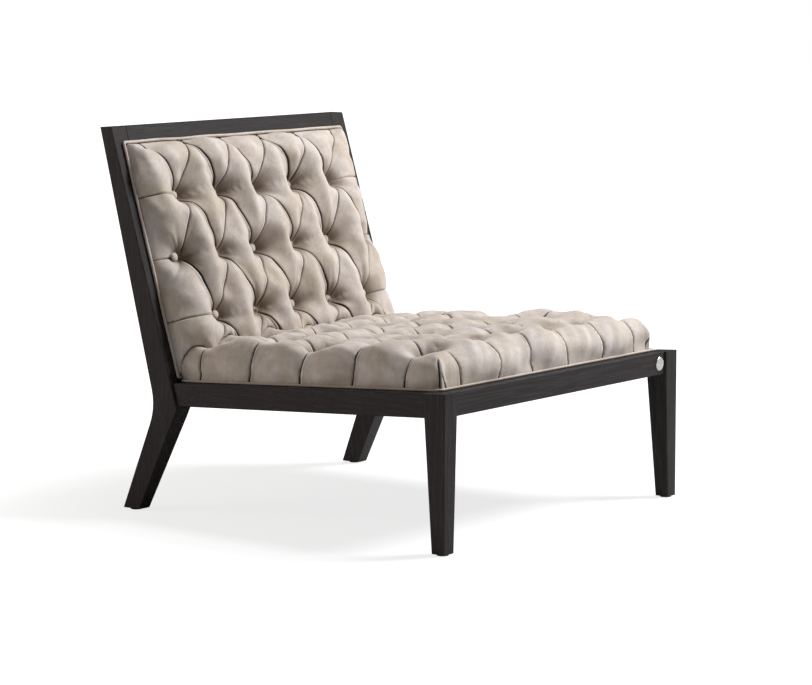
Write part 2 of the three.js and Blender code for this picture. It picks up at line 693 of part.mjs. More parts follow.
function cushionPoint(i, j, pad) {
  const column = i / STEPS_PER_TUFT - TUFT_COLUMNS;
  const row = j / STEPS_PER_TUFT;
  const firstRow = pad.along[0] + pad.lowRim;
  const rowPitch = (pad.along[1] - pad.highRim - firstRow) / (pad.rows - 1);

  const lowStep = Math.max(0, STEPS_PER_TUFT - j);
  const highStep = Math.max(0, j - pad.rows * STEPS_PER_TUFT);
  let along = firstRow + (Math.min(Math.max(row, 1), pad.rows) - 1) * rowPitch;
  along -= pad.lowRim - rimInside(pad.lowRim, pad.bulge)[lowStep];
  along += pad.highRim - rimInside(pad.highRim, pad.bulge)[highStep];

  const outerColumn = TUFT_COLUMNS - 1;
  const sideStep = Math.max(0, (Math.abs(column) - outerColumn) * STEPS_PER_TUFT);
  const inner = Math.min(Math.abs(column), outerColumn) * pad.halfPitch;
  const rim = pad.halfWidthAt(along) - outerColumn * pad.halfPitch;
  const fold = foldAt(column, row, pad);
  const across = inner + rim - rimInside(rim, pad.bulge)[sideStep];

  const towardsSide = Math.min(Math.max(Math.abs(column) - outerColumn + 1, 0), 1);
  const sideShare = sideStep > 0 ? pad.sideShares[sideStep] : 1 + (pad.sideShares[0] - 1) * towardsSide;
  const shoulder = RIM_HEIGHT_SHARES[lowStep] * pad.highShares[highStep] * sideShare;
  const atButton = buttonPull(column, row, pad, rowPitch);
  const fade = RIM_FOLD_SHARES[Math.max(sideStep, lowStep, highStep)];
  const depth = fold * (PLEAT_DEPTH * fade + (pad.buttonDepth - PLEAT_DEPTH) * atButton);
  const height = (pad.crestAt(along) - depth) * shoulder;

  const onWall = (step) => step > 1 && step < STEPS_PER_TUFT;
  const pleat = EDGE_PLEAT_DEPTH * fold;
  const corner = sideStep > 1 && lowStep + highStep > 1 ? CORNER_DRAW : 0;
  const sideDraw = (onWall(sideStep) ? pleat : 0) + corner;
  const endDraw = (onWall(lowStep) || onWall(highStep) ? pleat : 0) + corner;
  along += endDraw * (lowStep > 0 ? 1 : -1) + pad.rearLean * height * REAR_LEAN_SHARES[highStep];
  return [Math.sign(column) * (across - sideDraw), along, height];
}

// How strongly the nearest button pulls the cover down at a place
function buttonPull(column, row, pad, rowPitch) {
  let pull = 0;
  for (let c = Math.floor(column) - 1; c <= Math.ceil(column) + 1; c += 1) {
    for (let r = Math.floor(row) - 1; r <= Math.ceil(row) + 1; r += 1) {
      if (isButton(c, r, pad)) {
        const away = Math.hypot((column - c) * pad.halfPitch, (row - r) * rowPitch);
        pull = Math.max(pull, Math.exp(-((away / BUTTON_PULL_RADIUS) ** 2)));
      }
    }
  }
  return pull;
}

// Joins the grid's cells, with their diagonals along the folds, and closes the flat base
function closedGrid(positions, acrossSteps, alongSteps, pad) {
  const indices = [];
  const at = (i, j) => j * (acrossSteps + 1) + i;
  for (let j = 0; j < alongSteps; j += 1) {
    for (let i = 0; i < acrossSteps; i += 1) {
      const c = Math.floor(i / STEPS_PER_TUFT) - TUFT_COLUMNS;
      const r = Math.floor(j / STEPS_PER_TUFT);
      const [p, q, s, t] = [at(i, j), at(i + 1, j), at(i + 1, j + 1), at(i, j + 1)];
      if ((c + r + pad.shift) % 2 === 0) indices.push(p, q, s, p, s, t);
      else indices.push(p, q, t, q, s, t);
    }
  }
  const rim = [];
  for (let i = 0; i < acrossSteps; i += 1) rim.push(at(i, 0));
  for (let j = 0; j < alongSteps; j += 1) rim.push(at(acrossSteps, j));
  for (let i = acrossSteps; i > 0; i -= 1) rim.push(at(i, alongSteps));
  for (let j = alongSteps; j > 0; j -= 1) rim.push(at(0, j));
  const centre = positions.length / 3;
  positions.push(0, (pad.along[0] + pad.along[1]) / 2, 0);
  rim.forEach((point, k) => indices.push(centre, rim[(k + 1) % rim.length], point));
  return [positions, indices];
}

// The seat cushion's rear side leans back with the posts, over its welt
const seatCushionRear = seatWeltRear - weltToCushion - WELT_DIAMETER * Math.tan(rake);

function seatCushion() {
  const along = [seatWeltFront + weltToCushion, seatCushionRear];
  const rowPitch = (along[1] - along[0]) / (SEAT_ROWS - 1 + SEAT_FRONT_RIM_SHARE + SEAT_REAR_RIM_SHARE);
  const halfWidthAt = (y) => -seatEdgeAt(y) - weltToCushion;
  const width = halfWidthAt(along[0]) + halfWidthAt(along[1]);
  const pad = {
    rows: SEAT_ROWS,
    shift: 0,
    straightEnds: true,
    along,
    lowRim: rowPitch * SEAT_FRONT_RIM_SHARE,
    highRim: rowPitch * SEAT_REAR_RIM_SHARE,
    halfPitch: width / (TUFT_COLUMNS - 1 + 2 * SEAT_SIDE_RIM_SHARE) / 2,
    halfWidthAt,
    bulge: RIM_BULGE,
    sideShares: RIM_HEIGHT_SHARES,
    highShares: RIM_HEIGHT_SHARES,
    buttonDepth: SEAT_BUTTON_DEPTH,
    rearLean: Math.tan(rake),
    crestAt: () => SEAT_CREST,
  };
  return tuftedCushion(pad).translate(0, 0, FIT).applyMatrix4(seatPlane);
}

// The back cushion stands on the seat cushion, so its lower end takes that cushion's shape
function backCushion() {
  const along = [backWeltLow + weltToCushion, backWeltTop - weltToCushion];
  const length = along[1] - along[0];
  const rowPitch = length / (BACK_ROWS - 1 + BACK_LOW_RIM_SHARE + BACK_TOP_RIM_SHARE);
  const halfWidth = backWeltX - weltToCushion;
  const slope = (BACK_CREST_AT_SEAT - BACK_CREST_AT_TOP) / length;
  const pad = {
    rows: BACK_ROWS,
    shift: 1,
    straightEnds: false,
    along,
    lowRim: rowPitch * BACK_LOW_RIM_SHARE,
    highRim: rowPitch * BACK_TOP_RIM_SHARE,
    halfPitch: (2 * halfWidth) / (TUFT_COLUMNS - 1 + 2 * BACK_SIDE_RIM_SHARE) / 2,
    halfWidthAt: () => halfWidth,
    bulge: 0,
    sideShares: BACK_SIDE_HEIGHT_SHARES,
    highShares: BACK_TOP_HEIGHT_SHARES,
    buttonDepth: BACK_BUTTON_DEPTH,
    rearLean: 0,
    crestAt: (up) => BACK_CREST_AT_TOP + slope * (along[1] - up),
  };
  const cushion = tuftedCushion(pad).translate(0, 0, FIT).applyMatrix4(backPlane);
  const [, rearOut] = sideToSlope(seatCushionRear, frameTopAt(seatCushionRear));
  const shoulder = frameTopAt(seatCushionRear) + SEAT_CREST * RIM_HEIGHT_SHARES[2];
  const [shoulderUp] = sideToSlope(seatCushionRear, shoulder);
  const behindSeat = block(
    [-halfFront, halfFront],
    [0, shoulderUp],
    [rearOut - RIM_BULGE - 2 * FIT, OVERALL_DEPTH],
    backPlane,
  );
  return carved(cushion, [], [seatCushion().translate(0, 0, FIT), behindSeat]);
}

// A plain metal disc with a pin in the front rail's face
function disc(allowance = 0) {
  const radius = DISC_DIAMETER / 2;
  const pin = DISC_PIN_DIAMETER / 2 + allowance;
  const profile = [
    [0, -DISC_PIN_LENGTH - allowance],
    [pin, -DISC_PIN_LENGTH - allowance],
    [pin, FIT],
    [radius, FIT],
    [radius, DISC_THICKNESS - DISC_RIM / 2],
    [radius - DISC_RIM, DISC_THICKNESS + FIT],
    [0, DISC_THICKNESS + FIT],
  ];
  const x = halfFront - DISC_INSET;
  const z = frameTopAt(RAIL_SETBACK) - RAIL_HEIGHT / 2;
  return turned(profile, ROUND_SIDES).rotateX(Math.PI / 2).translate(x, RAIL_SETBACK, z);
}

// The chair, standing on its glides with its origin on the floor under the middle of its box

const chair = new THREE.Group();
chair.position.y = -OVERALL_DEPTH / 2;
const back = new THREE.Group();
back.rotation.x = backTilt;
back.position.set(0, KNEE_FRONT, KNEE_HEIGHT);
chair.add(back);

function addPart(name, geometry, look, parent = chair) {
  const mesh = new THREE.Mesh(geometry, new THREE.MeshStandardMaterial(look));
  mesh.name = name;
  parent.add(mesh);
}

function addPair(name, geometry, look) {
  addPart(`${name}_right`, geometry, look);
  addPart(`${name}_left`, mirrored(geometry), look);
}

addPair("front_leg", frontLeg(), timber);
addPair("rear_post", rearPost(), timber);
addPair("side_rail", sideRail(), timber);
addPart("front_rail", frontRail(), timber);
addPart("rear_rail", rearRail(), timber);
addPart("back_top_rail", topRail(), timber);
addPair("front_corner_block", frontBlock(), plywood);
addPair("rear_corner_block", rearBlock(), plywood);
addPart("seat_board", seatBoard(), plywood);
addPart("back_board", backBoard(), plywood);
addPart("seat_cushion", seatCushion(), leather);
addPart("back_cushion", backCushion(), leather);
addPart("seat_welt", seatWelt(), leather);
addPart("back_welt", backWelt(), leather, back);
addPart("outside_back", outsideBack(), leather, back);
addPart("dust_cover", dustCover(), cambric);
addPair("front_seat_screw", seatScrew(frontBlockScrewAt), steel);
addPair("rear_seat_screw", seatScrew(rearBlockScrewAt), steel);
addPair("top_back_screw", backScrew(-1, topScrewRise), steel);
addPair("low_back_screw", backScrew(-1, lowScrewRise), steel);
addPair("front_glide", glide().translate(...frontGlideAt, 0), nylon);
addPair("rear_glide", glide().translate(...rearGlideAt, 0), nylon);
addPart("rail_disc", disc(), steel);

export default chair;
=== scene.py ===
# A low slipper chair: a dark open-pore timber frame, and two deep-buttoned leather cushions edged
# with piping. Metres, +Z up; the sitter faces -Y, so the sitter's right is -X.
import math
import random
from contextlib import contextmanager

import bpy
import numpy as np
from mathutils import Matrix, Vector
from mathutils.bvhtree import BVHTree


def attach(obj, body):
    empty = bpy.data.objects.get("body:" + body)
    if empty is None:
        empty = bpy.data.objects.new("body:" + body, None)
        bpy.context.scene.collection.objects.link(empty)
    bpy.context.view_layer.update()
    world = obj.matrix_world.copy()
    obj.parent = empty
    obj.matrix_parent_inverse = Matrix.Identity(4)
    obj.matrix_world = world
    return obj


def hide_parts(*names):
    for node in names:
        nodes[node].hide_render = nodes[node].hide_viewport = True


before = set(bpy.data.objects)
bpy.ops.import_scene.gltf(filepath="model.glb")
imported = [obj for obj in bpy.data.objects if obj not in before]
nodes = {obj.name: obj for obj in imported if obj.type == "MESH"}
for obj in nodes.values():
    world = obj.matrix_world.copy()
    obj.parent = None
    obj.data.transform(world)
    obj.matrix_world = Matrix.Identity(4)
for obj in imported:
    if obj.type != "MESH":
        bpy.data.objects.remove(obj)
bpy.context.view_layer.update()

# ---- Camera and studio
# The photograph's own view: a long lens from the sitter's right, a little over a metre up. The
# main soft light is high on the picture's right, a weak warm one low behind on its left, and a
# small one overhead. The white floor runs on into a white wall.
CHAIR_MIDDLE = Vector((0, 0, 0.35))
WHITE = (1, 1, 1, 1)

camera_data = bpy.data.cameras.new("camera")
camera_data.lens = 137.28
camera_data.sensor_width = 36
camera_data.clip_end = 60
camera = bpy.data.objects.new("camera", camera_data)
camera.location = (-4.8913, -3.6573, 1.0847)
camera_aim = Vector((0.0089, -0.0382, 0.3234)) - camera.location
camera.rotation_mode = "QUATERNION"
camera.rotation_quaternion = camera_aim.to_track_quat("-Z", "Y")
bpy.context.scene.collection.objects.link(camera)
bpy.context.scene.camera = camera
bpy.context.scene.view_settings.view_transform = "Standard"


def softbox(name, place, size, power, colour):
    lamp = bpy.data.lights.new(name, "AREA")
    lamp.shape = "DISK"
    lamp.size = size
    lamp.energy = power
    lamp.color = colour
    holder = bpy.data.objects.new(name, lamp)
    holder.location = place
    holder.rotation_mode = "QUATERNION"
    holder.rotation_quaternion = (CHAIR_MIDDLE - Vector(place)).to_track_quat("-Z", "Y")
    bpy.context.scene.collection.objects.link(holder)


softbox("right_softbox", place=(2.3, -2.2, 3.1), size=1.4, power=190, colour=(0.97, 0.985, 1))
softbox("left_softbox", place=(-2.6, 2.8, 0.9), size=2.0, power=40, colour=(1, 0.91, 0.83))
softbox("top_softbox", place=(0.9, -0.4, 3.0), size=0.9, power=46, colour=(0.98, 0.99, 1))


# Fills a node's sockets, each with a value or with another node's output
def filled(node, sockets):
    for socket, value in sockets.items():
        if isinstance(value, bpy.types.NodeSocket):
            node.id_data.links.new(value, node.inputs[socket])
        else:
            node.inputs[socket].default_value = value
    return node


def made(tree, kind, sockets, **settings):
    node = tree.nodes.new("ShaderNode" + kind)
    for name, value in settings.items():
        setattr(node, name, value)
    return filled(node, sockets)


def math_node(tree, operation, first, second=0.0):
    return made(tree, "Math", {0: first, 1: second}, operation=operation).outputs["Value"]


# A smooth step from one pair of values to another
def ranged(tree, value, low, high, to_low=0.0, to_high=1.0):
    sockets = {"Value": value, "From Min": low, "From Max": high, "To Min": to_low, "To Max": to_high}
    return made(tree, "MapRange", sockets, interpolation_type="SMOOTHSTEP").outputs["Result"]


# Mixes two shaders, each (kind, settings): the first lights the chair, the second is what the
# camera sees instead of it, as far as the share lets it
def seen_apart(tree, output, lighting, seen, share=1.0):
    first, second = (made(tree, kind, settings).outputs[0] for kind, settings in (lighting, seen))
    ray = made(tree, "LightPath", {}).outputs["Is Camera Ray"]
    mix = made(tree, "MixShader", {0: math_node(tree, "MULTIPLY", ray, share), 1: first, 2: second})
    made(tree, output, {"Surface": mix.outputs["Shader"]})


studio = bpy.data.worlds.new("studio")
bpy.context.scene.world = studio
studio.use_nodes = True
studio.node_tree.nodes.clear()
seen_apart(studio.node_tree, "OutputWorld", ("Background", {"Color": (1, 0.95, 0.9, 1), "Strength": 0.12}),
           ("Background", {"Color": WHITE, "Strength": 1}))

bpy.ops.mesh.primitive_plane_add(size=40, location=(0, 0, 0))
floor = bpy.context.object
floor.name = "studio_floor"
floor_paint = bpy.data.materials.new("studio_floor")
floor_paint.use_nodes = True
paint = floor_paint.node_tree
paint.nodes.clear()
place = made(paint, "TexCoord", {}).outputs["Object"]
away = made(paint, "VectorMath", {0: place}, operation="LENGTH").outputs["Value"]
seen_apart(paint, "OutputMaterial", ("BsdfDiffuse", {"Color": (0.85, 0.85, 0.85, 1)}),
           ("Emission", {"Color": WHITE, "Strength": 1.3}), ranged(paint, away, 0.45, 1.5, 0.6, 1))
floor.data.materials.append(floor_paint)


# ---- Timber frame
# Legs, posts and rails of an open-pore wood, planed, joined with mortises and tenons, and stained
# a brown black under a satin lacquer that leaves the pores open. The grain runs along each piece.

# A shared effect: it takes a place and other inputs, and gives a colour, a roughness and a height
def group_of(name, ins):
    group = bpy.data.node_groups.new(name, "ShaderNodeTree")
    outs = (("Color", "Color"), ("Roughness", "Float"), ("Height", "Float"))
    for way, sockets in (("INPUT", ins), ("OUTPUT", outs)):
        for socket, kind in sockets:
            group.interface.new_socket(socket, in_out=way, socket_type="NodeSocket" + kind)
    return group, group.nodes.new("NodeGroupInput").outputs, group.nodes.new("NodeGroupOutput")


def noise_node(tree, vector, scale, detail, roughness):
    sockets = {"Vector": vector, "Scale": scale, "Detail": detail, "Roughness": roughness}
    return made(tree, "TexNoise", sockets).outputs["Fac"]


def stretched(tree, vector, scale, turn=(0, 0, 0)):
    return made(tree, "Mapping", {"Vector": vector, "Rotation": turn, "Scale": scale}).outputs["Vector"]


def weighed(tree, first, first_share, second, second_share):
    return math_node(tree, "ADD", math_node(tree, "MULTIPLY", first, first_share),
                     math_node(tree, "MULTIPLY", second, second_share))


def mixed(tree, share, first, second, blend="MIX"):
    return made(tree, "Mix", {0: share, 6: first, 7: second}, data_type="RGBA", blend_type=blend).outputs[2]


grain_group, grain_in, grain_out = group_of(
    "open_pore_grain", [("Along Z", "Vector"), ("Dark", "Color"), ("Light", "Color")])


def grain_noise(across, along, detail, roughness):
    drawn_out = stretched(grain_group, grain_in["Along Z"], (across, across, along))
    return noise_node(grain_group, drawn_out, 1, detail, roughness)


growth = grain_noise(across=48, along=1.6, detail=4, roughness=0.55)
rings = math_node(grain_group, "SINE", math_node(grain_group, "MULTIPLY", growth, 46))
rings_up = ranged(grain_group, rings, -0.6, 1)
pores = ranged(grain_group, grain_noise(across=1100, along=30, detail=2, roughness=0.6), 0.5, 0.66)
fibre = grain_noise(across=420, along=9, detail=3, roughness=0.6)
pore_share = math_node(grain_group, "MULTIPLY", pores, rings_up)
tone = ranged(grain_group, weighed(grain_group, rings_up, 0.3, fibre, 0.75), 0.15, 1.05)
fibre_height = math_node(grain_group, "MULTIPLY", fibre, 0.25)
filled(grain_out, {"Color": mixed(grain_group, tone, grain_in["Dark"], grain_in["Light"]),
                   "Roughness": ranged(grain_group, pore_share, 0, 1, 0.6, 0.78),
                   "Height": math_node(grain_group, "SUBTRACT", fibre_height, pore_share)})


def finish_of(name):
    material = bpy.data.materials.new(name)
    material.use_nodes = True
    tree = material.node_tree
    return material, tree, tree.nodes["Principled BSDF"], made(tree, "TexCoord", {}).outputs["Object"]


def surfaced(tree, surface, colour, roughness, height, bump_height, specular):
    bump = made(tree, "Bump", {"Distance": bump_height, "Height": height})
    filled(surface, {"Base Color": colour, "Roughness": roughness, "Normal": bump.outputs["Normal"],
                     "Specular IOR Level": specular})


# Puts a group into a material and lays what it gives on the surface
def grouped(tree, surface, group, sockets, bump_height, specular):
    given = made(tree, "Group", sockets, node_tree=group).outputs
    surfaced(tree, surface, given["Color"], given["Roughness"], given["Height"], bump_height, specular)


def stained_timber(name, turn):
    material, tree, surface, place = finish_of(name)
    stain = {"Along Z": stretched(tree, place, (1, 1, 1), turn), "Dark": (0.0160, 0.0125, 0.0127, 1),
             "Light": (0.0400, 0.0330, 0.0340, 1)}
    grouped(tree, surface, grain_group, stain, bump_height=0.0002, specular=0.17)
    return material


upright_timber = stained_timber("stained_timber_upright", (0, 0, 0))
side_timber = stained_timber("stained_timber_sides", (math.radians(90), 0, 0))
cross_timber = stained_timber("stained_timber_cross", (0, math.radians(90), 0))


def dressed(piece, material):
    piece.data.materials.clear()
    piece.data.materials.append(material)


for end in ("right", "left"):
    dressed(nodes["front_leg_" + end], upright_timber)
    dressed(nodes["rear_post_" + end], upright_timber)
    dressed(nodes["side_rail_" + end], side_timber)
for rail in ("front_rail", "rear_rail", "back_top_rail"):
    dressed(nodes[rail], cross_timber)


# ---- Nubuck hide
# The hide of both cushions, their buttons, the piping and the outside of the back: buffed to a
# short nap and mottled from beige to mauve grey, with shade painted into its folds and dips and a
# highlight painted on the pleats' lips.
hide_group, hide_in, hide_out = group_of(
    "nubuck_hide", [("Place", "Vector"), ("Fold Shading", "Float"), ("Dip Shade", "Float"), ("Pale", "Color"),
                    ("Warm", "Color"), ("Dip Shadow Colour", "Color"), ("Deep", "Color")])
SCUFFED_DARK, SCUFFED_PALE = (0.88, 0.87, 0.86, 1), (1.06, 1.06, 1.06, 1)
# A painted highlight, laid on the lips of the pleats where the light catches them
PAINTED_LIP_HIGHLIGHT = (0.78, 0.74, 0.70, 1)

hide_place = hide_in["Place"]
clouds = noise_node(hide_group, hide_place, scale=11, detail=4, roughness=0.6)
blotches = noise_node(hide_group, hide_place, scale=38, detail=5, roughness=0.7)
nap = noise_node(hide_group, hide_place, scale=420, detail=4, roughness=0.65)
scuffs = noise_node(hide_group, stretched(hide_group, hide_place, (160, 160, 60)), 1, detail=4, roughness=0.7)
mottle = ranged(hide_group, weighed(hide_group, clouds, 0.55, blotches, 0.45), 0.36, 0.64)
hide_tone = mixed(hide_group, mottle, hide_in["Warm"], hide_in["Pale"])
wear_and_lip_highlight = ranged(hide_group, weighed(hide_group, scuffs, 0.6, nap, 0.4), 0.3, 0.7)
scuffed = mixed(hide_group, 1.0, hide_tone, mixed(hide_group, wear_and_lip_highlight, SCUFFED_DARK, SCUFFED_PALE), "MULTIPLY")
# Painted shade in the dips round the buttons
dip_shade_share = ranged(hide_group, hide_in["Dip Shade"], 0.08, 0.9, 0, 0.85)
dip_shaded = mixed(hide_group, dip_shade_share, scuffed, hide_in["Dip Shadow Colour"])
# Painted highlight on the pleats' lips, where the fold mark is below zero
unfolded = math_node(hide_group, "MULTIPLY", hide_in["Fold Shading"], -1.0)
lip_highlighted = mixed(hide_group, ranged(hide_group, unfolded, 0.1, 0.9, 0, 0.8), dip_shaded, PAINTED_LIP_HIGHLIGHT)
# Painted shade in the slits of the pleats, in their tucks and in the crease under the back
in_fold = ranged(hide_group, hide_in["Fold Shading"], 0.1, 0.9, 0, 0.96)
filled(hide_out, {"Color": mixed(hide_group, in_fold, lip_highlighted, hide_in["Deep"]),
                  "Roughness": ranged(hide_group, nap, 0.3, 0.7, 0.72, 0.95),
                  "Height": weighed(hide_group, nap, 0.5, blotches, 1.0)})


def nubuck(name, folded):
    material, tree, surface, place = finish_of(name)
    dye = {"Place": place, "Pale": (0.565, 0.505, 0.478, 1), "Warm": (0.46, 0.392, 0.32, 1),
           "Dip Shadow Colour": (0.19, 0.14, 0.102, 1), "Deep": (0.012, 0.007, 0.005, 1)}
    # The folded hide reads the painted shade and painted highlight marked on the cushion covers
    if folded:
        for mark, socket in (("fold", "Fold Shading"), ("dip_shade", "Dip Shade")):
            dye[socket] = made(tree, "Attribute", {}, attribute_name=mark).outputs["Fac"]
    grouped(tree, surface, hide_group, dye, bump_height=0.0006, specular=0.25)
    filled(surface, {"Sheen Weight": 0.25, "Sheen Roughness": 0.45, "Sheen Tint": (0.95, 0.92, 0.9, 1)})
    return material


folded_hide = nubuck("nubuck_folded", True)
smooth_hide = nubuck("nubuck_smooth", False)


# ---- Seat cushion
# Foam under one hide of nubuck, drawn down by covered buttons set in staggered rows. The spare
# leather is folded into a pleat between every two neighbouring buttons, and the pleats run on
# down the sides to the piping.
GRID_CELLS = 36
OUTER_COLUMN = 5
RIM_STEPS = 400
SWELLING_SHARE = 1 / 8
FRAME_MIDDLE = 0.4265
DECK_GAP = 0.0003
rng = random.Random(11)


def clipped(value):
    return np.clip(value, 0, 1)


# A cushion's rim from its outer buttons out to its edge, as (across, level) at each share of its
# run. It is a quarter of a superellipse that reaches in from the edge and swells out low down
def rim_curve(width, height, squareness, reach, bulge):
    turn = np.linspace(0, math.pi / 2, RIM_STEPS)
    inside = reach * (1 - np.sin(turn) ** (2 / squareness))
    level = np.cos(turn) ** (2 / squareness)
    kept = inside <= width
    inside = np.concatenate([[width], inside[kept]])
    level = np.concatenate([level[kept][:1], level[kept]])
    swell = bulge * np.sin(math.pi * level) * clipped(1 - inside / (width * SWELLING_SHARE))
    across = 1 - (inside - swell) / width
    run = np.concatenate([[0], np.cumsum(np.hypot(np.diff(across * width), np.diff(level * height)))])
    return run / run[-1], across, level, run[-1]


# A pad is described by its buttons' lattice, its rims at the sides, the low end and the high end,
# each as (width, height, squareness, reach), and the plane that it lies on
def pad_rims(pad):
    for side, rim in pad["rims"].items():
        pad[side + "_curve"] = rim_curve(*rim, pad["bulge"])
    pad["outer"] = OUTER_COLUMN * pad["half_pitch"]
    pad["last"] = pad["first"] + (pad["rows"] - 1) * pad["row_pitch"]
    pad["sheet"] = (pad["outer"] + pad["side_curve"][3], pad["first"] - pad["low_curve"][3],
                    pad["last"] + pad["high_curve"][3])
    pad["buttons"] = [
        (column * pad["half_pitch"], pad["first"] + row * pad["row_pitch"], column, row)
        for row in range(pad["rows"]) for column in range(-OUTER_COLUMN, OUTER_COLUMN + 1)
        if (column + row + OUTER_COLUMN + pad["shift"]) % 2 == 0
    ]


PLEAT_OVERRUN = 1.15
WRINKLES = 7
WRINKLE_LENGTHS = (0.040, 0.085)


# The pleats as lines on the flat hide: (start, end, kind, whether a button is at the end)
def pad_pleats(pad):
    pleats = []
    half, pitch = pad["half_pitch"], pad["row_pitch"]
    side, low, high = pad["sheet"]
    at = {(column, row): (u, v) for u, v, column, row in pad["buttons"]}
    for (column, row), (u, v) in at.items():
        for step in (-1, 1):
            if (column + step, row + 1) in at:
                pleats.append(((u, v), at[column + step, row + 1], "rising" if step > 0 else "falling", True))
            open_low = row == 0 and step == -1
            open_high = row == pad["rows"] - 1 and step == 1
            if (open_low or open_high) and pad["straight_ends"]:
                pleats.append(((u, v), (u, low if open_low else high), "end", False))
            elif open_low or open_high:
                for way in (-1, 1):
                    kind = "rising" if way * step > 0 else "falling"
                    end = (u + way * half * PLEAT_OVERRUN, v + step * pitch * PLEAT_OVERRUN)
                    pleats.append(((u, v), end, kind, False))
        if abs(column) == max(abs(c) for c, r in at if r == row):
            pleats.append(((u, v), (math.copysign(side, u), v), "side", False))
        for wrinkle in range(WRINKLES):
            angle = rng.uniform(0, 2 * math.pi)
            length = rng.uniform(*WRINKLE_LENGTHS)
            reach = (u + length * math.cos(angle), v + length * math.sin(angle))
            pleats.append(((u, v), reach, "wrinkle", False))
    return pleats


NEARLY_FLAT = 1e-4
EDGE_BLEND = 3


# The plain cushion with no buttons: where each point of the flat hide lies over the pad's plane
def plain_form(pad, u, v):
    first, last = pad["first"], pad["last"]
    low_run, low_across, low_level, low_length = pad["low_curve"]
    high_run, high_across, high_level, high_length = pad["high_curve"]
    side_run, side_across, side_level, side_length = pad["side_curve"]
    squareness, side_reach = pad["rims"]["side"][2:]
    low_width, high_width = pad["rims"]["low"][0], pad["rims"]["high"][0]
    low = clipped((first - v) / low_length)
    high = clipped((v - last) / high_length)
    side = clipped((np.abs(u) - pad["outer"]) / side_length)
    y = np.clip(v, first, last)
    y = y - low_width * np.interp(low, low_run, low_across)
    y = y + high_width * np.interp(high, high_run, high_across)
    half_width = pad["half_width"](y)
    x = np.minimum(np.abs(u), pad["outer"])
    past = np.maximum(1 - (half_width - x) / side_reach, 0)
    inner = (1 - past ** squareness) ** (1 / squareness)
    level = np.where(side > 0, np.interp(side, side_run, side_level), inner)
    x = x + (half_width - pad["outer"]) * np.interp(side, side_run, side_across)
    end_level = np.interp(low, low_run, low_level) * np.interp(high, high_run, high_level)
    level = np.maximum(level, NEARLY_FLAT)
    end_level = np.maximum(end_level, NEARLY_FLAT)
    level = (level ** -EDGE_BLEND + end_level ** -EDGE_BLEND - 1) ** (-1 / EDGE_BLEND)
    height = (pad["crest"](y) + pad["crown"] * (1 - (x / half_width) ** 2)) * level
    low_radius, high_radius = pad["corner_radii"]
    for edge, way, radius in ((first - low_width, -1, low_radius), (last + high_width, 1, high_radius)):
        past_x = np.maximum((x - half_width + radius) / radius, 0)
        past_y = np.maximum(((y - edge) * way + radius) / radius, 0)
        round_off = np.maximum(past_x, past_y) / np.maximum(np.hypot(past_x, past_y), 1e-9)
        both = (past_x > 0) & (past_y > 0)
        x = np.where(both, half_width - radius + radius * past_x * round_off, x)
        y = np.where(both, edge + way * (radius * past_y * round_off - radius), y)
    y = y + pad["lean"] * height * high
    return np.stack([np.sign(u) * x, y, height], axis=1)


SLOPE_STEP = 0.0008
CORNER_START, CORNER_RUN = 0.35, 0.3
CORNER_RISE = 0.1


# The way out of the plain cushion at each point, and flat on the diagonal down its corners
def way_out(pad, u, v):
    run_u = plain_form(pad, u + SLOPE_STEP, v) - plain_form(pad, u - SLOPE_STEP, v)
    run_v = plain_form(pad, u, v + SLOPE_STEP) - plain_form(pad, u, v - SLOPE_STEP)
    normal = np.cross(run_u, run_v)
    normal /= np.maximum(np.linalg.norm(normal, axis=1, keepdims=True), 1e-12)
    side, low, high = pad["sheet"]
    past_side = (np.abs(u) - pad["outer"]) / (side - pad["outer"])
    past_end = np.where(v < pad["first"], (pad["first"] - v) / (pad["first"] - low),
                        (v - pad["last"]) / (high - pad["last"]))
    corner = clipped((np.minimum(past_side, past_end) - CORNER_START) / CORNER_RUN)[:, None]
    across = np.stack([np.sign(u), np.where(v < pad["first"], -1, 1), CORNER_RISE * np.ones_like(u)], axis=1)
    normal = normal * (1 - corner) + across / np.sqrt(2) * corner
    return normal / np.linalg.norm(normal, axis=1, keepdims=True), corner[:, 0]


def closeness(distance, reach):
    return np.exp(-((distance / reach) ** 2))


BUTTON_FOOT = 0.005
SLOPE_REACH, SLOPE_POWER = 0.033, 1.5
SLOPE_LEFT, SLOPE_RIGHT = 0.9, 0.5


# How much of a button's depth the hide has at each place round it: a steep hole along the pleats,
# and a gentler slope to the sides, where the pillows are
def dimple(off_u, off_v, reach_up, reach_down):
    distance = np.hypot(off_u, off_v)
    past = np.maximum(distance - BUTTON_FOOT, 0)
    steep = np.exp(-past / np.where(off_v > 0, reach_up, reach_down))
    gentle = np.exp(-((past / SLOPE_REACH) ** SLOPE_POWER))
    sideways = (off_u / np.maximum(distance, 1e-6)) ** 2
    return steep + (gentle - steep) * sideways * np.where(off_u < 0, SLOPE_LEFT, SLOPE_RIGHT)


BUTTON_ZONE, BUTTON_CLEAR = 0.020, 0.010
SWELL_REACH = 0.026
RIDGE_PLACE, RIDGE_WIDTH, RIDGE_HEIGHT = 0.0036, 0.0024, 0.0011
TUCK_PLACE, TUCK_WIDTH, TUCK_DEPTH = 0.0064, 0.0016, 0.0016
SHALLOW_TUCK, TUCK_DARK = 0.3, 0.5
LIP_GAP = 0.45
# How fast the shade painted in a slit reaches its full, and the least that counts as painted shade
DARK_STEEPNESS, LEAST_DARK = 1.8, 0.05
PLEAT_REACH = 2.5
PLEAT_WANDER = (0.85, 1.15)
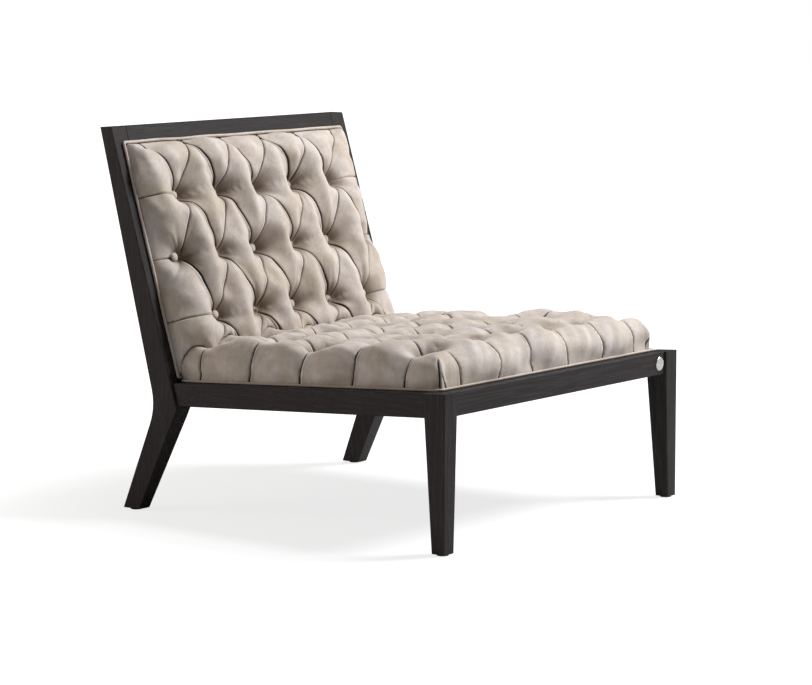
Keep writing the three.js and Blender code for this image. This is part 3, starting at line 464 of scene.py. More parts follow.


# How far the hide is drawn in at each point of the flat sheet: by the buttons, by the pleats'
# rolled shoulders and their second tucks, by the wrinkles, and by the slits of the pleats
# themselves, with the shade painted into the slits and tucks and the highlight painted on the lips
def drawn_in(pad, u, v, pleats):
    pull = np.zeros_like(u)
    nearest = np.full_like(u, 1.0)
    for bu, bv, column, row in pad["buttons"]:
        nearest = np.minimum(nearest, np.hypot(u - bu, v - bv))
        depth = plain_form(pad, np.array([bu]), np.array([bv]))[0, 2] - pad["button_height"](bu, bv)
        pull += (depth * dimple(u - bu, v - bv, *pad["dimple_reach"])) ** 4
    pull = pull ** 0.25
    drops, creases, groove, dark, lip_highlight = (np.zeros_like(u) for each in range(5))
    for start, end, kind, to_button in pleats:
        look = pad["pleat_looks"][kind]
        reach = PLEAT_REACH * max(look["width"], look["swell"] and SWELL_REACH) + look["spread"]
        near = np.nonzero((u > min(start[0], end[0]) - reach) & (u < max(start[0], end[0]) + reach)
                          & (v > min(start[1], end[1]) - reach) & (v < max(start[1], end[1]) + reach))[0]
        run = np.array(end) - np.array(start)
        length = np.hypot(*run)
        run = run / length
        off_u, off_v = u[near] - start[0], v[near] - start[1]
        along = np.clip(off_u * run[0] + off_v * run[1], 0, length)
        distance = np.hypot(off_u - along * run[0], off_v - along * run[1])
        to_end = np.minimum(along, length - along) if to_button else along
        at_button = closeness(to_end, BUTTON_ZONE)
        lip_way = off_v - along * run[1] if kind == "side" else off_u - along * run[0]
        on_lip = (lip_way < 0) & (look["lip"] > 0)
        wander = rng.uniform(*PLEAT_WANDER)
        width = np.where(on_lip, look["lip_width"], look["width"]) * wander + look["spread"] * at_button
        rolled = 1 - np.minimum(distance / width, 1)
        shed = look["height"] * wander * (1 - np.sqrt(np.maximum(1 - rolled ** 2, 0)))
        fade = 1
        if kind == "wrinkle":
            shed, fade = 0, 1 - along / length
            crease = look["height"] * wander * closeness(distance, width) * fade
            creases[near] = np.maximum(creases[near], crease)
        shed = shed + look["swell"] * closeness(distance, SWELL_REACH)
        if look["lip"]:
            # The upper layer's lip gets a painted highlight, and the second tuck beside it painted shade
            ridge = closeness(distance - RIDGE_PLACE, RIDGE_WIDTH) * on_lip * (1 - 0.6 * at_button)
            tuck = closeness(distance - TUCK_PLACE, TUCK_WIDTH) * on_lip * (1 - at_button)
            tuck = tuck * (look["lip"] if rng.random() < 0.5 else SHALLOW_TUCK)
            shed = shed - RIDGE_HEIGHT * look["lip"] * ridge + TUCK_DEPTH * tuck
            lip_highlight[near] = np.maximum(lip_highlight[near], ridge * look["lip"])
            dark[near] = np.maximum(dark[near], TUCK_DARK * tuck)
        drops[near] += np.maximum(shed, 0) ** 4
        gap = np.where(on_lip, look["gap"] * LIP_GAP, look["gap"])
        inside = clipped(1 - (distance / gap) ** 2)
        groove[near] = np.maximum(groove[near], look["groove"] * inside * fade)
        # Painted shade along the slit, reaching further on the side away from the lip
        lined = clipped(1 - (distance / np.where(on_lip, gap, gap + look["line"])) ** 2)
        darker = clipped(DARK_STEEPNESS * lined) * look["dark"] * (1 - 0.35 * at_button) * fade
        dark[near] = np.maximum(dark[near], darker)
    drops = drops ** 0.25 + creases
    clear = 1 - closeness(nearest, BUTTON_CLEAR)
    shade = np.where(dark > LEAST_DARK, dark, -lip_highlight)
    return pull, drops * clear, groove * clear, shade * clear, nearest


# A surface's gentle lumps: waves of each (size, height), running in a number of random ways
def uneven(x, y, lumps, ways, last_phase):
    total = np.zeros_like(x)
    for size, height in lumps:
        for turn in range(ways):
            way, phase = rng.uniform(0, math.pi), rng.uniform(0, last_phase)
            total += height * np.sin((x * math.cos(way) + y * math.sin(way)) * 2 * math.pi / size + phase)
    return total


def only(piece):
    bpy.ops.object.select_all(action="DESELECT")
    piece.select_set(True)
    bpy.context.view_layer.objects.active = piece


def read_points(mesh):
    flat = np.empty(len(mesh.vertices) * 3)
    mesh.vertices.foreach_get("co", flat)
    return flat.reshape(-1, 3)


def set_points(piece, points):
    piece.data.vertices.foreach_set("co", points.ravel())


def select_faces(piece, test):
    mesh = piece.data
    centres = np.empty(len(mesh.polygons) * 3)
    mesh.polygons.foreach_get("center", centres)
    mesh.vertices.foreach_set("select", np.zeros(len(mesh.vertices), bool))
    mesh.edges.foreach_set("select", np.zeros(len(mesh.edges), bool))
    mesh.polygons.foreach_set("select", test(centres.reshape(-1, 3)))


# Opens edit mode for the lines under it, with everything selected unless told otherwise
@contextmanager
def editing(everything=True):
    bpy.ops.object.mode_set(mode="EDIT")
    if everything:
        bpy.ops.mesh.select_all(action="SELECT")
    yield
    bpy.ops.object.mode_set(mode="OBJECT")


# Cuts lines into the faces that show in edit mode: each cut is a place and the way across the line
def cut(cuts, trimmed=False):
    for place, across in cuts:
        bpy.ops.mesh.select_all(action="SELECT")
        bpy.ops.mesh.bisect(plane_co=place, plane_no=across, clear_outer=trimmed)


# Cuts lines into only those faces whose centres pass a test
def slit(piece, test, cuts):
    select_faces(piece, test)
    with editing(everything=False):
        bpy.ops.mesh.hide(unselected=True)
        cut(cuts)
        bpy.ops.mesh.reveal(select=False)


# Closes a piece's seams, points its faces outwards and smooths it
def closed(piece, weld):
    only(piece)
    with editing():
        if weld:
            bpy.ops.mesh.remove_doubles(threshold=0.00001)
        bpy.ops.mesh.normals_make_consistent(inside=False)
    bpy.ops.object.shade_smooth()


GRID_CROWDING = 0.72
PLEAT_SLITS = (-0.0042, -0.0022, 0, 0.0022, 0.0042)
SLIT_ZONE = 0.02


# The hide laid flat: a grid turned to run along the pleats, with its lines crowded towards them,
# trimmed to the hide's size and slit once more beside each straight pleat
def flat_hide(name, pad):
    side, low, high = pad["sheet"]
    half, pitch, first = pad["half_pitch"], pad["row_pitch"], pad["first"]
    shift = 0.5 * (1 - pad["shift"])
    corners = [(s * side / half, (v - first) / pitch) for s in (-1, 1) for v in (low, high)]
    a_values = [(c + r) / 2 - shift for c, r in corners]
    b_values = [(r - c) / 2 - shift for c, r in corners]
    start_a, start_b = math.floor(min(a_values)), math.floor(min(b_values))
    cells_a, cells_b = math.ceil(max(a_values)) - start_a, math.ceil(max(b_values)) - start_b
    bpy.ops.mesh.primitive_grid_add(x_subdivisions=cells_a * GRID_CELLS, y_subdivisions=cells_b * GRID_CELLS,
                                    size=1)
    hide = bpy.context.object
    hide.name = name
    points = read_points(hide.data)
    grid = (points[:, :2] + 0.5) * (cells_a, cells_b)
    whole = np.floor(grid + 1e-6)
    part = grid - whole
    part = part - GRID_CROWDING * np.sin(2 * math.pi * part) / (2 * math.pi)
    a = whole[:, 0] + part[:, 0] + start_a + shift
    b = whole[:, 1] + part[:, 1] + start_b + shift
    points[:, 0] = (a - b) * half
    points[:, 1] = (a + b) * pitch + first
    set_points(hide, points)
    only(hide)
    with editing():
        cut((((side, 0, 0), (1, 0, 0)), ((-side, 0, 0), (-1, 0, 0)), ((0, high, 0), (0, 1, 0)),
             ((0, low, 0), (0, -1, 0))), trimmed=True)
    for v in sorted({v for u, v, column, row in pad["buttons"]}):
        beyond = max(abs(u) for u, w, column, row in pad["buttons"] if w == v)
        slit(hide, lambda c: (np.abs(c[:, 0]) > beyond) & (np.abs(c[:, 1] - v) < SLIT_ZONE),
             [((0, v + offset, 0), (0, 1, 0)) for offset in PLEAT_SLITS])
    if pad["straight_ends"]:
        for u in sorted({u for u, v, column, row in pad["buttons"] if row == 0}):
            beyond_ends = lambda c: (c[:, 1] < first) | (c[:, 1] > pad["last"])
            slit(hide, lambda c: beyond_ends(c) & (np.abs(c[:, 0] - u) < SLIT_ZONE),
                 [((u + offset, 0, 0), (1, 0, 0)) for offset in PLEAT_SLITS])
    return hide


PAD_LUMPS = ((0.19, 0.0022), (0.11, 0.0013), (0.06, 0.0008), (0.033, 0.0004))
HEM_HELD = 0.02
HEM_GROOVE = 0.3
# How far the painted shade reaches round each button, and how much the pleats' drops add to it
DIP_SHADE_REACH = 0.024
DEEP_DROP, DROP_DIP_SHADE = 0.016, 0.3


# Draws the flat hide over the foam, closes it underneath, and marks for the material the shade
# painted into its folds and dips and the highlight painted on its pleats' lips
def upholstered(name, pad):
    pad_rims(pad)
    hide = flat_hide(name, pad)
    points = read_points(hide.data)
    u, v = points[:, 0].copy(), points[:, 1].copy()
    pull, drops, groove, shade, nearest = drawn_in(pad, u, v, pad_pleats(pad))
    base = plain_form(pad, u, v)
    outward, corner = way_out(pad, u, v)
    side, low, high = pad["sheet"]
    hem = np.minimum(np.minimum(side - np.abs(u), v - low), high - v)
    held = clipped(hem / HEM_HELD)
    slits = groove * (HEM_GROOVE + (1 - HEM_GROOVE) * held)
    lumps = uneven(u, v, PAD_LUMPS, ways=3, last_phase=2 * math.pi)
    depth = pull + drops * held + slits + lumps * held * (1 - corner)
    placed = base - outward * depth[:, None]
    placed[:, 2] = np.maximum(placed[:, 2], 0)
    placed = pad["to_chair"](placed)
    set_points(hide, placed)
    # Painted shade in the dips round the buttons and under the pleats' dropped shoulders
    dip_shade = closeness(nearest, DIP_SHADE_REACH) + DROP_DIP_SHADE * clipped(drops / DEEP_DROP)
    # The fold mark holds the shade painted in the slits and, below zero, the highlight painted on the lips
    for mark, values in (("fold", np.clip(shade, -1, 1)), ("dip_shade", clipped(dip_shade))):
        hide.data.attributes.new(mark, "FLOAT", "POINT").data.foreach_set("value", values)
    only(hide)
    with editing(everything=False):
        bpy.ops.mesh.select_all(action="DESELECT")
        bpy.ops.mesh.select_non_manifold()
        bpy.ops.mesh.edge_face_add()
        bpy.ops.mesh.select_face_by_sides(number=4, type="GREATER")
        bpy.ops.mesh.quads_convert_to_tris()
    closed(hide, weld=False)
    return hide


SEAT_DEPTH = 0.6625
SEAT_FALL = 0.038 / SEAT_DEPTH
DECK_FRONT = 0.2985
RAKE = math.atan2(0.1615, 0.542)


def seat_to_chair(points):
    x, y, h = points[:, 0], points[:, 1], points[:, 2]
    return np.stack([x, y - FRAME_MIDDLE, DECK_FRONT - SEAT_FALL * y + h + DECK_GAP], axis=1)


# How a kind of pleat looks: how far its shoulders roll and drop, how deep and wide the slit between
# them is and how much shade is painted into it, and how strong a lip the upper layer makes, with
# the highlight painted on it
def pleat_look(**given):
    return dict(dark=1, line=0, lip=0, lip_width=0.007, spread=0.004) | given


seat_looks = {
    "rising": pleat_look(width=0.014, height=0.0030, swell=0.004, groove=0.005, gap=0.0030, dark=0.6,
                         lip=0.6),
    "falling": pleat_look(width=0.016, height=0.0040, swell=0.004, groove=0.007, gap=0.0040, lip=1),
    "side": pleat_look(width=0.013, height=0.0040, swell=0.003, groove=0.008, gap=0.0036, line=0.0003,
                       lip=0.8, spread=0.003),
    "end": pleat_look(width=0.013, height=0.0040, swell=0.003, groove=0.008, gap=0.0034, line=0.0003,
                      lip=0.8, spread=0.003),
    "wrinkle": pleat_look(width=0.0042, height=0.0026, swell=0, groove=0.0008, gap=0.0026, dark=0.4,
                          lip_width=0.0042, spread=0),
}

seat_pad = dict(
    rows=5, shift=0, half_pitch=0.0592, row_pitch=0.1269, first=0.1177,
    rims=dict(side=(0.0567, 0.084, 3.0, 0.0567), low=(0.0812, 0.084, 3.0, 0.060),
              high=(0.0430, 0.084, 3.8, 0.0368)),
    bulge=0.004, corner_radii=(0.018, 0.004), straight_ends=True, lean=math.tan(RAKE),
    half_width=lambda y: 0.3641 - (y - 0.0365) * (0.3641 - 0.3413) / 0.6256,
    crest=lambda y: 0.084 + 0 * y, crown=0.005, button_height=lambda u, v: 0.037,
    dimple_reach=(0.016, 0.028),
    to_chair=seat_to_chair, pleat_looks=seat_looks,
)
seat_cover = upholstered("seat_cover", seat_pad)


def read_shade(piece):
    shade = np.empty(len(piece.data.vertices))
    piece.data.attributes["fold"].data.foreach_get("value", shade)
    return shade


def reshaped(piece, points, shade):
    set_points(piece, points)
    piece.data.attributes["fold"].data.foreach_set("value", shade)
    piece.data.update()


CORNER_X, CORNER_Y = 0.3600, -0.3860
CORNER_INNER_X, CORNER_INNER_Y = 0.33, -0.35
HIDE_FOOT = 0.2975
FOLD_SLITS = (-3.2, -2.2, -1.4, -0.8, -0.35, 0, 0.35, 0.8, 1.4, 2.2)


# Folds the spare leather in at a front corner along one line, given as its top and bottom
# (along, height): along runs round the corner from the side of the seat to its front. All its
# widths are shares of the fold's width, and its depths of the fold's depth
def corner_fold(piece, way, top, bottom, width, depth, dark):
    tangent = Vector((-way, -1, 0)).normalized()
    outward = Vector((way, -1, 0)).normalized()
    corner = Vector((way * CORNER_X, CORNER_Y, 0))
    high, low = (corner + tangent * along + Vector((0, 0, height)) for along, height in (top, bottom))
    down = (low - high).normalized()
    across = down.cross(outward).normalized()
    across = across if across.dot(tangent) > 0 else -across

    def at_corner(places):
        return (places[:, 0] * way > CORNER_INNER_X) & (places[:, 1] < CORNER_INNER_Y)

    only(piece)
    slit(piece, lambda c: at_corner(c) & (c[:, 2] < top[1] + SLIT_ZONE),
         [(low + across * (offset * width), across) for offset in FOLD_SLITS])
    points = read_points(piece.data)
    off = (points - np.array(low)) @ np.array(across) / width
    run = (points - np.array(high)) @ np.array(down) / (low - high).length
    near = at_corner(points) & (points[:, 2] > HIDE_FOOT) & (run > 0) & (run < 1.2)
    growing = clipped(run / 0.25) * near
    opening = clipped(1 - np.abs(off) / 0.8) ** 0.5
    shoulder = closeness(np.minimum(off, 0), 1.7) * (off <= 0) * 0.5
    lip = closeness(off - 1.5, 0.9) * 0.35
    points -= np.array(outward) * ((np.maximum(opening, shoulder) - lip) * depth * growing)[:, None]
    # Painted shade down the fold's opening, and a painted highlight on its lip
    marked = clipped(1.5 * (1 - np.abs(off + 0.1) / 0.75)) * dark
    wear_and_lip_highlight = closeness(off - 1.1, 0.5) * 0.8 * dark
    shade = np.where(marked > LEAST_DARK, marked, -wear_and_lip_highlight) * growing
    reshaped(piece, points, np.where(np.abs(shade) > LEAST_DARK, shade, read_shade(piece)))


for way in (-1, 1):
    corner_fold(seat_cover, way, (0.0000, 0.357), (0.0020, 0.297), width=0.0030, depth=0.0048, dark=1)
    corner_fold(seat_cover, way, (0.0040, 0.332), (0.0150, 0.297), width=0.0022, depth=0.0025, dark=0.8)
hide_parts("seat_cushion")
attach(seat_cover, "root")
dressed(seat_cover, folded_hide)


# ---- Back cushion
# Made like the seat, on a board that fills the back of the frame. It is thinnest at the top and
# the sides, where the hide is drawn down to the piping, and it rests on the seat at its foot.
BACK_BASE = 0.21


def back_to_chair(points):
    x, s, q = points[:, 0], points[:, 1], points[:, 2] + DECK_GAP
    y = SEAT_DEPTH + s * math.sin(RAKE) - q * math.cos(RAKE)
    z = BACK_BASE + s * math.cos(RAKE) + q * math.sin(RAKE)
    return np.stack([x, y - FRAME_MIDDLE, z], axis=1)


# The painted shade in the crease, and how far above the seat it reaches
CREASE_DARK, CREASE_REACH = 0.85, 0.004


# Rolls the foot of the back in where it comes down on the seat, lays it on top of the seat and
# paints shade into the crease between them
def lay_on(piece, other, gap, roll, roll_height):
    tree = BVHTree.FromObject(other, bpy.context.evaluated_depsgraph_get())
    points, shade = read_points(piece.data), read_shade(piece)
    top = read_points(other.data)[:, 2].max()
    inward = Vector((0, math.cos(RAKE), -math.sin(RAKE)))
    foot = Vector(back_to_chair(np.zeros((1, 3)))[0])

    def seat_height(x, y):
        place, normal, face, distance = tree.ray_cast(Vector((x, y, 1)), Vector((0, 0, -1)))
        return -1 if place is None else place.z

    for index in np.nonzero(points[:, 2] < top + gap + roll_height)[0]:
        point = Vector(points[index])
        above = point.z - seat_height(point.x, point.y)
        share = min(max(1 - above / roll_height, 0), 1)
        out = (foot - point).dot(inward)
        point += inward * min(roll * share * share, max(out - gap, 0))
        point.z = max(point.z, seat_height(point.x, point.y) + gap)
        place, normal, face, distance = tree.find_nearest(point)
        if (point - place).dot(normal) < gap:
            point = place + normal * gap
        points[index] = point
        shade[index] = max(shade[index], CREASE_DARK * math.exp(-(max(above, 0) / CREASE_REACH) ** 2))
    reshaped(piece, points, shade)


back_looks = {
    "rising": pleat_look(width=0.014, height=0.0032, swell=0.009, groove=0.005, gap=0.0030, dark=0.65,
                         lip=0.5),
    "falling": pleat_look(width=0.018, height=0.0045, swell=0.010, groove=0.008, gap=0.0044, line=0.0009,
                          lip=1),
    "side": pleat_look(width=0.006, height=0.0016, swell=0.002, groove=0.0035, gap=0.0020, dark=0.6,
                       line=0.0004, lip_width=0.006, spread=0.003),
    "wrinkle": pleat_look(width=0.0044, height=0.0036, swell=0, groove=0.0010, gap=0.0028, dark=0.45,
                          lip_width=0.0044, spread=0),
}

back_pad = dict(
    rows=3, shift=1, half_pitch=0.06007, row_pitch=0.1254, first=0.1688,
    rims=dict(side=(0.04315, 0.060, 1.95, 0.102), low=(0.1043, 0.092, 2.6, 0.100),
              high=(0.1106, 0.048, 2.1, 0.066)),
    bulge=0, corner_radii=(0.004, 0.012), straight_ends=False, lean=0,
    half_width=lambda s: 0.3435 + 0 * s,
    crest=lambda s: 0.046 + 0.046 * (0.5302 - s) / 0.4657, crown=0.004,
    button_height=lambda u, v: 0.006 + (0.4196 - v) * 0.1377, dimple_reach=(0.022, 0.0125),
    to_chair=back_to_chair, pleat_looks=back_looks,
)
back_cover = upholstered("back_cover", back_pad)
lay_on(back_cover, seat_cover, gap=0.0008, roll=0.014, roll_height=0.020)
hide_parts("back_cushion")
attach(back_cover, "root")
dressed(back_cover, folded_hide)


# ---- Covered buttons
# Tin buttons 17 mm across, each covered with a disc of the same hide gathered under its rim, and
# drawn down on waxed twine, so that they stand a little proud at the bottom of their tufts.
BUTTON_RINGS = [(0.0070, -0.0012), (0.0084, 0.0004), (0.0086, 0.0016), (0.0079, 0.0030), (0.0062, 0.0042),
                (0.0038, 0.0050), (0.0014, 0.0053)]
PUCKERS, PUCKER_DEPTH = 14, 0.018
PUCKERED_BELOW, PUCKERED_BEYOND = 0.002, 0.0065

bpy.ops.mesh.primitive_circle_add(vertices=2 * PUCKERS, radius=BUTTON_RINGS[0][0], fill_type="NGON",
                                  location=(0, 0, 0))
plain_button = bpy.context.object
with editing():
    bpy.ops.transform.translate(value=(0, 0, BUTTON_RINGS[0][1]))
    for (radius, height), (next_radius, next_height) in zip(BUTTON_RINGS, BUTTON_RINGS[1:]):
        bpy.ops.mesh.extrude_region_move(TRANSFORM_OT_translate={"value": (0, 0, next_height - height)})
        bpy.ops.transform.resize(value=(next_radius / radius, next_radius / radius, 1))
closed(plain_button, weld=False)
rim_points = read_points(plain_button.data)
around = np.arctan2(rim_points[:, 1], rim_points[:, 0])
from_centre = np.hypot(rim_points[:, 0], rim_points[:, 1])
puckered = (rim_points[:, 2] < PUCKERED_BELOW) & (from_centre > PUCKERED_BEYOND)
rim_points[:, :2] *= (1 + PUCKER_DEPTH * np.cos(PUCKERS * around) * puckered)[:, None]
set_points(plain_button, rim_points)


# Puts a copy of the plain button at the bottom of each of a pad's tufts, square to the pad
def buttoned(pad, name, lift):
    axes = pad["to_chair"](np.array([[0, 0, 0], [1, 0, 0], [0, 1, 0]], float))
    origin, east, north = (Vector(point) for point in axes)
    out = (east - origin).cross(north - origin).normalized()
    for count, (u, v, column, row) in enumerate(pad["buttons"]):
        base = plain_form(pad, np.array([u]), np.array([v]))
        base[0, 2] = pad["button_height"](u, v) + lift
        place = Vector(pad["to_chair"](base)[0])
        turn = out.to_track_quat("Z", "Y").to_matrix().to_4x4()
        button = plain_button.copy()
        button.data = plain_button.data.copy()
        button.name = name + "_" + str(count + 1)
        button.data.transform(Matrix.Translation(place) @ turn @ Matrix.Rotation(rng.uniform(0, 6), 4, "Z"))
        bpy.context.scene.collection.objects.link(button)
        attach(button, "root")
        dressed(button, smooth_hide)


buttoned(seat_pad, "seat_button", lift=-0.0004)
buttoned(back_pad, "back_button", lift=-0.0014)
bpy.data.objects.remove(plain_button)


# ---- Piping
# A cotton cord in a folded strip of the same hide, sewn round the foot of each cushion, where it
# covers the edge of the board. It wavers a little, and it is pressed flatter than round.
PIPING_GAP = 0.0001
STRAIGHT_EDGE = 0.1


def piped(name, corners, corner_round, cord, flatten, to_chair):
    bpy.ops.mesh.primitive_plane_add(size=1)
    loop = bpy.context.object
    loop.name = name
    loop.data.vertices.foreach_set("co", [value for x, y in corners for value in (x, y, 0)])
    with editing():
        bpy.ops.mesh.bevel(offset=corner_round, segments=6, affect="VERTICES")
        bpy.ops.mesh.delete(type="ONLY_FACE")
    for edge in loop.data.edges:
        start, end = (loop.data.vertices[i].co for i in edge.vertices)
        edge.select = (start - end).length > STRAIGHT_EDGE
    with editing(everything=False):
        bpy.ops.mesh.subdivide(number_cuts=70)
    bpy.ops.object.convert(target="CURVE")
    loop.data.bevel_depth = cord / 2
    loop.data.bevel_resolution = 4
    bpy.ops.object.convert(target="MESH")
    points = read_points(loop.data)
    waver = [(rng.uniform(20, 60), rng.uniform(0, 6), rng.uniform(0.0001, 0.0003)) for wave in range(4)]
    for rate, phase, sway in waver:
        points[:, 0] += sway * np.sin(points[:, 1] * rate + phase)
        points[:, 1] += sway * np.sin(points[:, 0] * rate + phase)
    points[:, 2] = (points[:, 2] + cord / 2) * flatten + PIPING_GAP
    set_points(loop, to_chair(points))
    closed(loop, weld=True)
    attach(loop, "root")
    dressed(loop, smooth_hide)
    return loop


seat_piping = piped(
    "seat_piping", [(-0.3676, 0.033), (0.3676, 0.033), (-0.3446, 0.6735), (0.3446, 0.6735)],
    corner_round=0.010, cord=0.0062, flatten=0.82, to_chair=seat_to_chair)
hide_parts("seat_welt")
back_piping = piped(
    "back_piping", [(-0.347, 0.061), (0.347, 0.061), (-0.347, 0.5336), (0.347, 0.5336)],
    corner_round=0.004, cord=0.0060, flatten=0.95, to_chair=back_to_chair)
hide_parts("back_welt")


# ---- Boards, screws, glides and disc
# Birch plywood stained dark on its show edges, zinc plated screws, nylon glides pushed into the
# feet, and a plain disc of brushed steel on the front rail.
def plain_finish(name, colour, roughness, metallic=0.0):
    material, tree, surface, place = finish_of(name)
    specks = noise_node(tree, place, scale=260, detail=3, roughness=0.6)
    dim = tuple(channel * 0.8 for channel in colour) + (1,)
    filled(surface, {"Base Color": mixed(tree, ranged(tree, specks, 0.3, 0.7), dim, colour + (1,)),
                     "Roughness": ranged(tree, specks, 0.3, 0.7, roughness - 0.06, roughness + 0.06),
                     "Metallic": metallic})
    return material


dark_plywood = plain_finish("stained_plywood", (0.035, 0.024, 0.018), roughness=0.75)
zinc_steel = plain_finish("zinc_steel", (0.62, 0.63, 0.64), roughness=0.35, metallic=1.0)
black_nylon = plain_finish("black_nylon", (0.012, 0.012, 0.013), roughness=0.5)
brushed_steel = plain_finish("brushed_steel", (0.52, 0.51, 0.50), roughness=0.28, metallic=1.0)
for board in ("seat_board", "back_board"):
    dressed(nodes[board], dark_plywood)
dressed(nodes["rail_disc"], brushed_steel)
for side in ("right", "left"):
    for block in ("front_corner_block_", "rear_corner_block_"):
        dressed(nodes[block + side], dark_plywood)
    for screw in ("front_seat_screw_", "rear_seat_screw_", "top_back_screw_", "low_back_screw_"):
        dressed(nodes[screw + side], zinc_steel)
    for glide in ("front_glide_", "rear_glide_"):
        dressed(nodes[glide + side], black_nylon)


# ---- Outside back
# One piece of nubuck pulled over a thin board with a little wadding, and pressed in between the
# posts and the rails at the back. It is crowned in the middle and pulls in along its stapled edge.
PANEL_HALF = 0.3265
PANEL_MIDDLE, PANEL_HALF_HEIGHT = (0.5352 + 0.0583) / 2, (0.5352 - 0.0583) / 2
PANEL_INNER, PANEL_OUTER = -0.0203, -0.0262
PANEL_CROWN = 0.0042
PANEL_LUMPS = ((0.24, 0.0006), (0.13, 0.0004), (0.07, 0.0002))
PANEL_CELLS = 8
PANEL_STAPLE_PITCH, PANEL_STAPLE_PULL, PANEL_STAPLE_REACH = 0.048, 0.0005, 0.014

bpy.ops.mesh.primitive_grid_add(x_subdivisions=13 * PANEL_CELLS, y_subdivisions=9 * PANEL_CELLS, size=2)
outside_cover = bpy.context.object
outside_cover.name = "outside_cover"
with editing():
    bpy.ops.transform.resize(value=(PANEL_HALF, PANEL_HALF_HEIGHT, 1))
    bpy.ops.transform.translate(value=(0, PANEL_MIDDLE, PANEL_OUTER))
    bpy.ops.mesh.extrude_region_move(TRANSFORM_OT_translate={"value": (0, 0, PANEL_INNER - PANEL_OUTER)})
closed(outside_cover, weld=False)
edge_round = outside_cover.modifiers.new("edge", "BEVEL")
edge_round.width = 0.0024
edge_round.segments = 4
edge_round.limit_method = "ANGLE"
bpy.ops.object.modifier_apply(modifier=edge_round.name)
points = read_points(outside_cover.data)
across = points[:, 0] / PANEL_HALF
up = (points[:, 1] - PANEL_MIDDLE) / PANEL_HALF_HEIGHT
loose = clipped((PANEL_INNER - points[:, 2]) / (PANEL_INNER - PANEL_OUTER))
in_from_side = (1 - np.abs(across)) * PANEL_HALF
in_from_edge = np.minimum(in_from_side, (1 - np.abs(up)) * PANEL_HALF_HEIGHT)
crown = PANEL_CROWN * clipped(1 - across ** 4) * clipped(1 - up ** 4)
around = np.where(in_from_side < in_from_edge + 1e-6, points[:, 1], points[:, 0])
staple_pull = PANEL_STAPLE_PULL * np.cos(around * 2 * math.pi / PANEL_STAPLE_PITCH)
staple_pull *= np.exp(-in_from_edge / PANEL_STAPLE_REACH)
slack = uneven(points[:, 0], points[:, 1], PANEL_LUMPS, ways=1, last_phase=6)
held_in = clipped(in_from_edge / 0.03)
points[:, 2] -= loose * (crown + staple_pull + slack * held_in)
set_points(outside_cover, back_to_chair(points - (0, 0, DECK_GAP)))
closed(outside_cover, weld=True)
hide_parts("outside_back")
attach(outside_cover, "root")
dressed(outside_cover, smooth_hide)


# ---- Dust cloth
# Black cambric under the seat, cut to the frame with a tongue between the front legs, its edge
# turned under once and stapled to the rails. It hangs a few millimetres slack in the middle.
CLOTH_FRONT, CLOTH_LEGS, CLOTH_BACK = -0.4133, -0.3727, 0.2278
CLOTH_TONGUE, CLOTH_WIDE, CLOTH_NARROW = 0.3518, 0.3864, 0.3572
CLOTH_TOP = 0.2523
CLOTH_THICKNESS = 0.0005
CLOTH_HEM = 0.013
CLOTH_SAG = 0.006
HEM_STEP = 0.004
STAPLE_PITCH = 0.062
STAPLE_BEND = ((-0.005, 0.0012), (-0.005, 0), (0.005, 0), (0.005, 0.0012))


def under_seat(y):
    return CLOTH_TOP - SEAT_FALL * (y - CLOTH_FRONT)


def cloth_half(y):
    share = (y - CLOTH_LEGS) / (CLOTH_BACK - CLOTH_LEGS)
    return np.where(y < CLOTH_LEGS, CLOTH_TONGUE, CLOTH_WIDE + (CLOTH_NARROW - CLOTH_WIDE) * share)


def inside_hem(x, y):
    side = cloth_half(np.maximum(y, CLOTH_LEGS)) - np.abs(x)
    notch = np.maximum(CLOTH_TONGUE - np.abs(x), y - CLOTH_LEGS)
    return np.minimum.reduce([side, notch, y - CLOTH_FRONT, CLOTH_BACK - y])


bpy.ops.mesh.primitive_grid_add(x_subdivisions=48, y_subdivisions=40, size=2)
dust_cloth = bpy.context.object
dust_cloth.name = "dust_cloth"
points = read_points(dust_cloth.data)
depth_at = CLOTH_FRONT + (points[:, 1] + 1) / 2 * (CLOTH_BACK - CLOTH_FRONT)
wide_at = CLOTH_WIDE + (CLOTH_NARROW - CLOTH_WIDE) * (depth_at - CLOTH_LEGS) / (CLOTH_BACK - CLOTH_LEGS)
points[:, 0] *= wide_at
points[:, 1] = depth_at
set_points(dust_cloth, points)
cuts = [((way * place, 0, 0), (1, 0, 0)) for way in (-1, 1)
        for place in (CLOTH_TONGUE, CLOTH_TONGUE - CLOTH_HEM, CLOTH_NARROW - CLOTH_HEM)]
cuts += [((0, place, 0), (0, 1, 0)) for place in
         (CLOTH_LEGS, CLOTH_LEGS + CLOTH_HEM, CLOTH_FRONT + CLOTH_HEM, CLOTH_BACK - CLOTH_HEM)]
with editing():
    cut(cuts)
select_faces(dust_cloth, lambda c: (np.abs(c[:, 0]) > CLOTH_TONGUE) & (c[:, 1] < CLOTH_LEGS))
with editing(everything=False):
    bpy.ops.mesh.delete(type="FACE")
with editing():
    bpy.ops.mesh.extrude_region_move(TRANSFORM_OT_translate={"value": (0, 0, -CLOTH_THICKNESS)})
closed(dust_cloth, weld=True)
points = read_points(dust_cloth.data)
x, y = points[:, 0].copy(), points[:, 1].copy()
hem_in = inside_hem(x, y)
hemmed = clipped((CLOTH_HEM + HEM_STEP - hem_in) / HEM_STEP) * (points[:, 2] < -CLOTH_THICKNESS / 2)
hang = clipped((hem_in - 0.030) / 0.12)
sagging = CLOTH_SAG * hang * hang * (3 - 2 * hang)
wrinkled = 0.0004 * np.sin(x * 61 + 0.6) * np.sin(y * 47 + 1.9) * clipped((hem_in - 0.02) / 0.06)
points[:, 2] += under_seat(y) - 0.9 * CLOTH_THICKNESS * hemmed - sagging - wrinkled
set_points(dust_cloth, points)
bpy.ops.object.shade_smooth_by_angle(angle=math.radians(40))

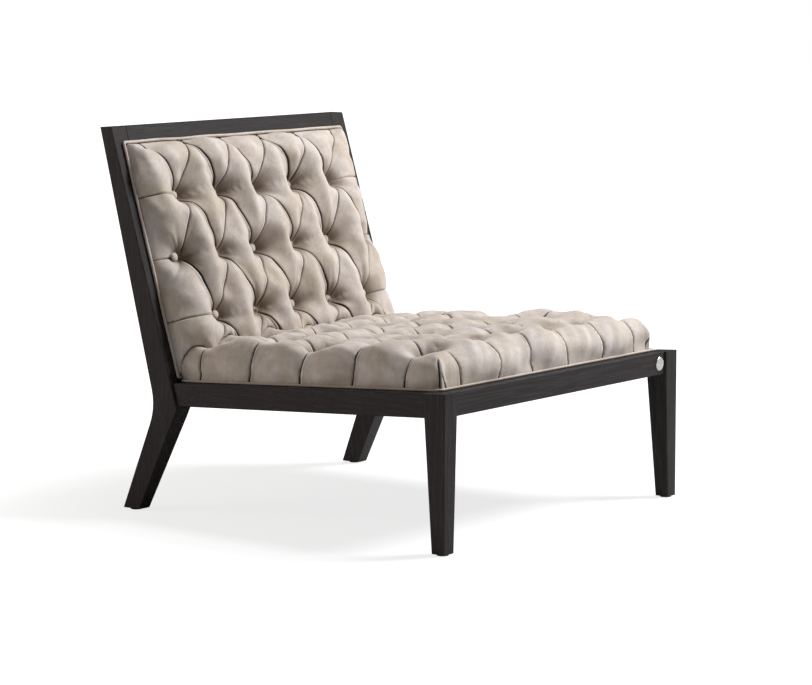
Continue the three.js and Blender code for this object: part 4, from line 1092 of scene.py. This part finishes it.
# The staples run round the middle of the hem
hem_line = CLOTH_HEM / 2
left_side = [(x - hem_line, y + hem_line) for x, y in
             ((CLOTH_TONGUE, CLOTH_FRONT), (CLOTH_TONGUE, CLOTH_LEGS), (CLOTH_WIDE, CLOTH_LEGS))]
left_side.append((CLOTH_NARROW - hem_line, CLOTH_BACK - hem_line))
right_side = [(-x, y) for x, y in reversed(left_side)]
outline = right_side[-1:] + left_side + right_side[:-1]
staples = []
for (x0, y0), (x1, y1) in zip(outline, outline[1:] + outline[:1]):
    length = math.hypot(x1 - x0, y1 - y0)
    count = round(length / STAPLE_PITCH)
    for index in range(count):
        share = (index + 0.5) / count
        place = Vector((x0 + (x1 - x0) * share, y0 + (y1 - y0) * share, 0))
        place.z = under_seat(place.y) - 2.3 * CLOTH_THICKNESS
        wire = bpy.data.curves.new("staple", "CURVE")
        wire.dimensions = "3D"
        wire.bevel_depth = 0.00035
        wire.bevel_resolution = 1
        bent = wire.splines.new("POLY")
        bent.points.add(3)
        for point, (along, rise) in zip(bent.points, STAPLE_BEND):
            point.co = (along, 0, rise, 1)
        staple = bpy.data.objects.new("staple", wire)
        staple.matrix_world = Matrix.Translation(place) @ Matrix.Rotation(
            math.atan2(y1 - y0, x1 - x0) + rng.uniform(-0.12, 0.12), 4, "Z")
        bpy.context.scene.collection.objects.link(staple)
        staples.append(staple)
bpy.ops.object.select_all(action="DESELECT")
for staple in staples:
    staple.select_set(True)
bpy.context.view_layer.objects.active = staples[0]
bpy.ops.object.convert(target="MESH")
bpy.ops.object.join()
cloth_staples = bpy.context.object
cloth_staples.name = "cloth_staples"
bpy.ops.object.transform_apply(location=True, rotation=True, scale=True)
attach(cloth_staples, "root")
dressed(cloth_staples, zinc_steel)

black_cambric, cloth_tree, cloth_surface, cloth_place = finish_of("black_cambric")
warp, weft = (noise_node(cloth_tree, stretched(cloth_tree, cloth_place, scale), 1, detail=2, roughness=0.6)
              for scale in ((900, 14, 14), (14, 900, 14)))
threads = math_node(cloth_tree, "MAXIMUM", warp, weft)
cloth_tone = mixed(cloth_tree, ranged(cloth_tree, threads, 0.42, 0.7), (0.008, 0.008, 0.009, 1),
                   (0.030, 0.030, 0.032, 1))
surfaced(cloth_tree, cloth_surface, cloth_tone, ranged(cloth_tree, threads, 0.42, 0.7, 0.8, 0.95), threads,
         bump_height=0.0002, specular=0.2)
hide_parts("dust_cover")
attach(dust_cloth, "root")
dressed(dust_cloth, black_cambric)
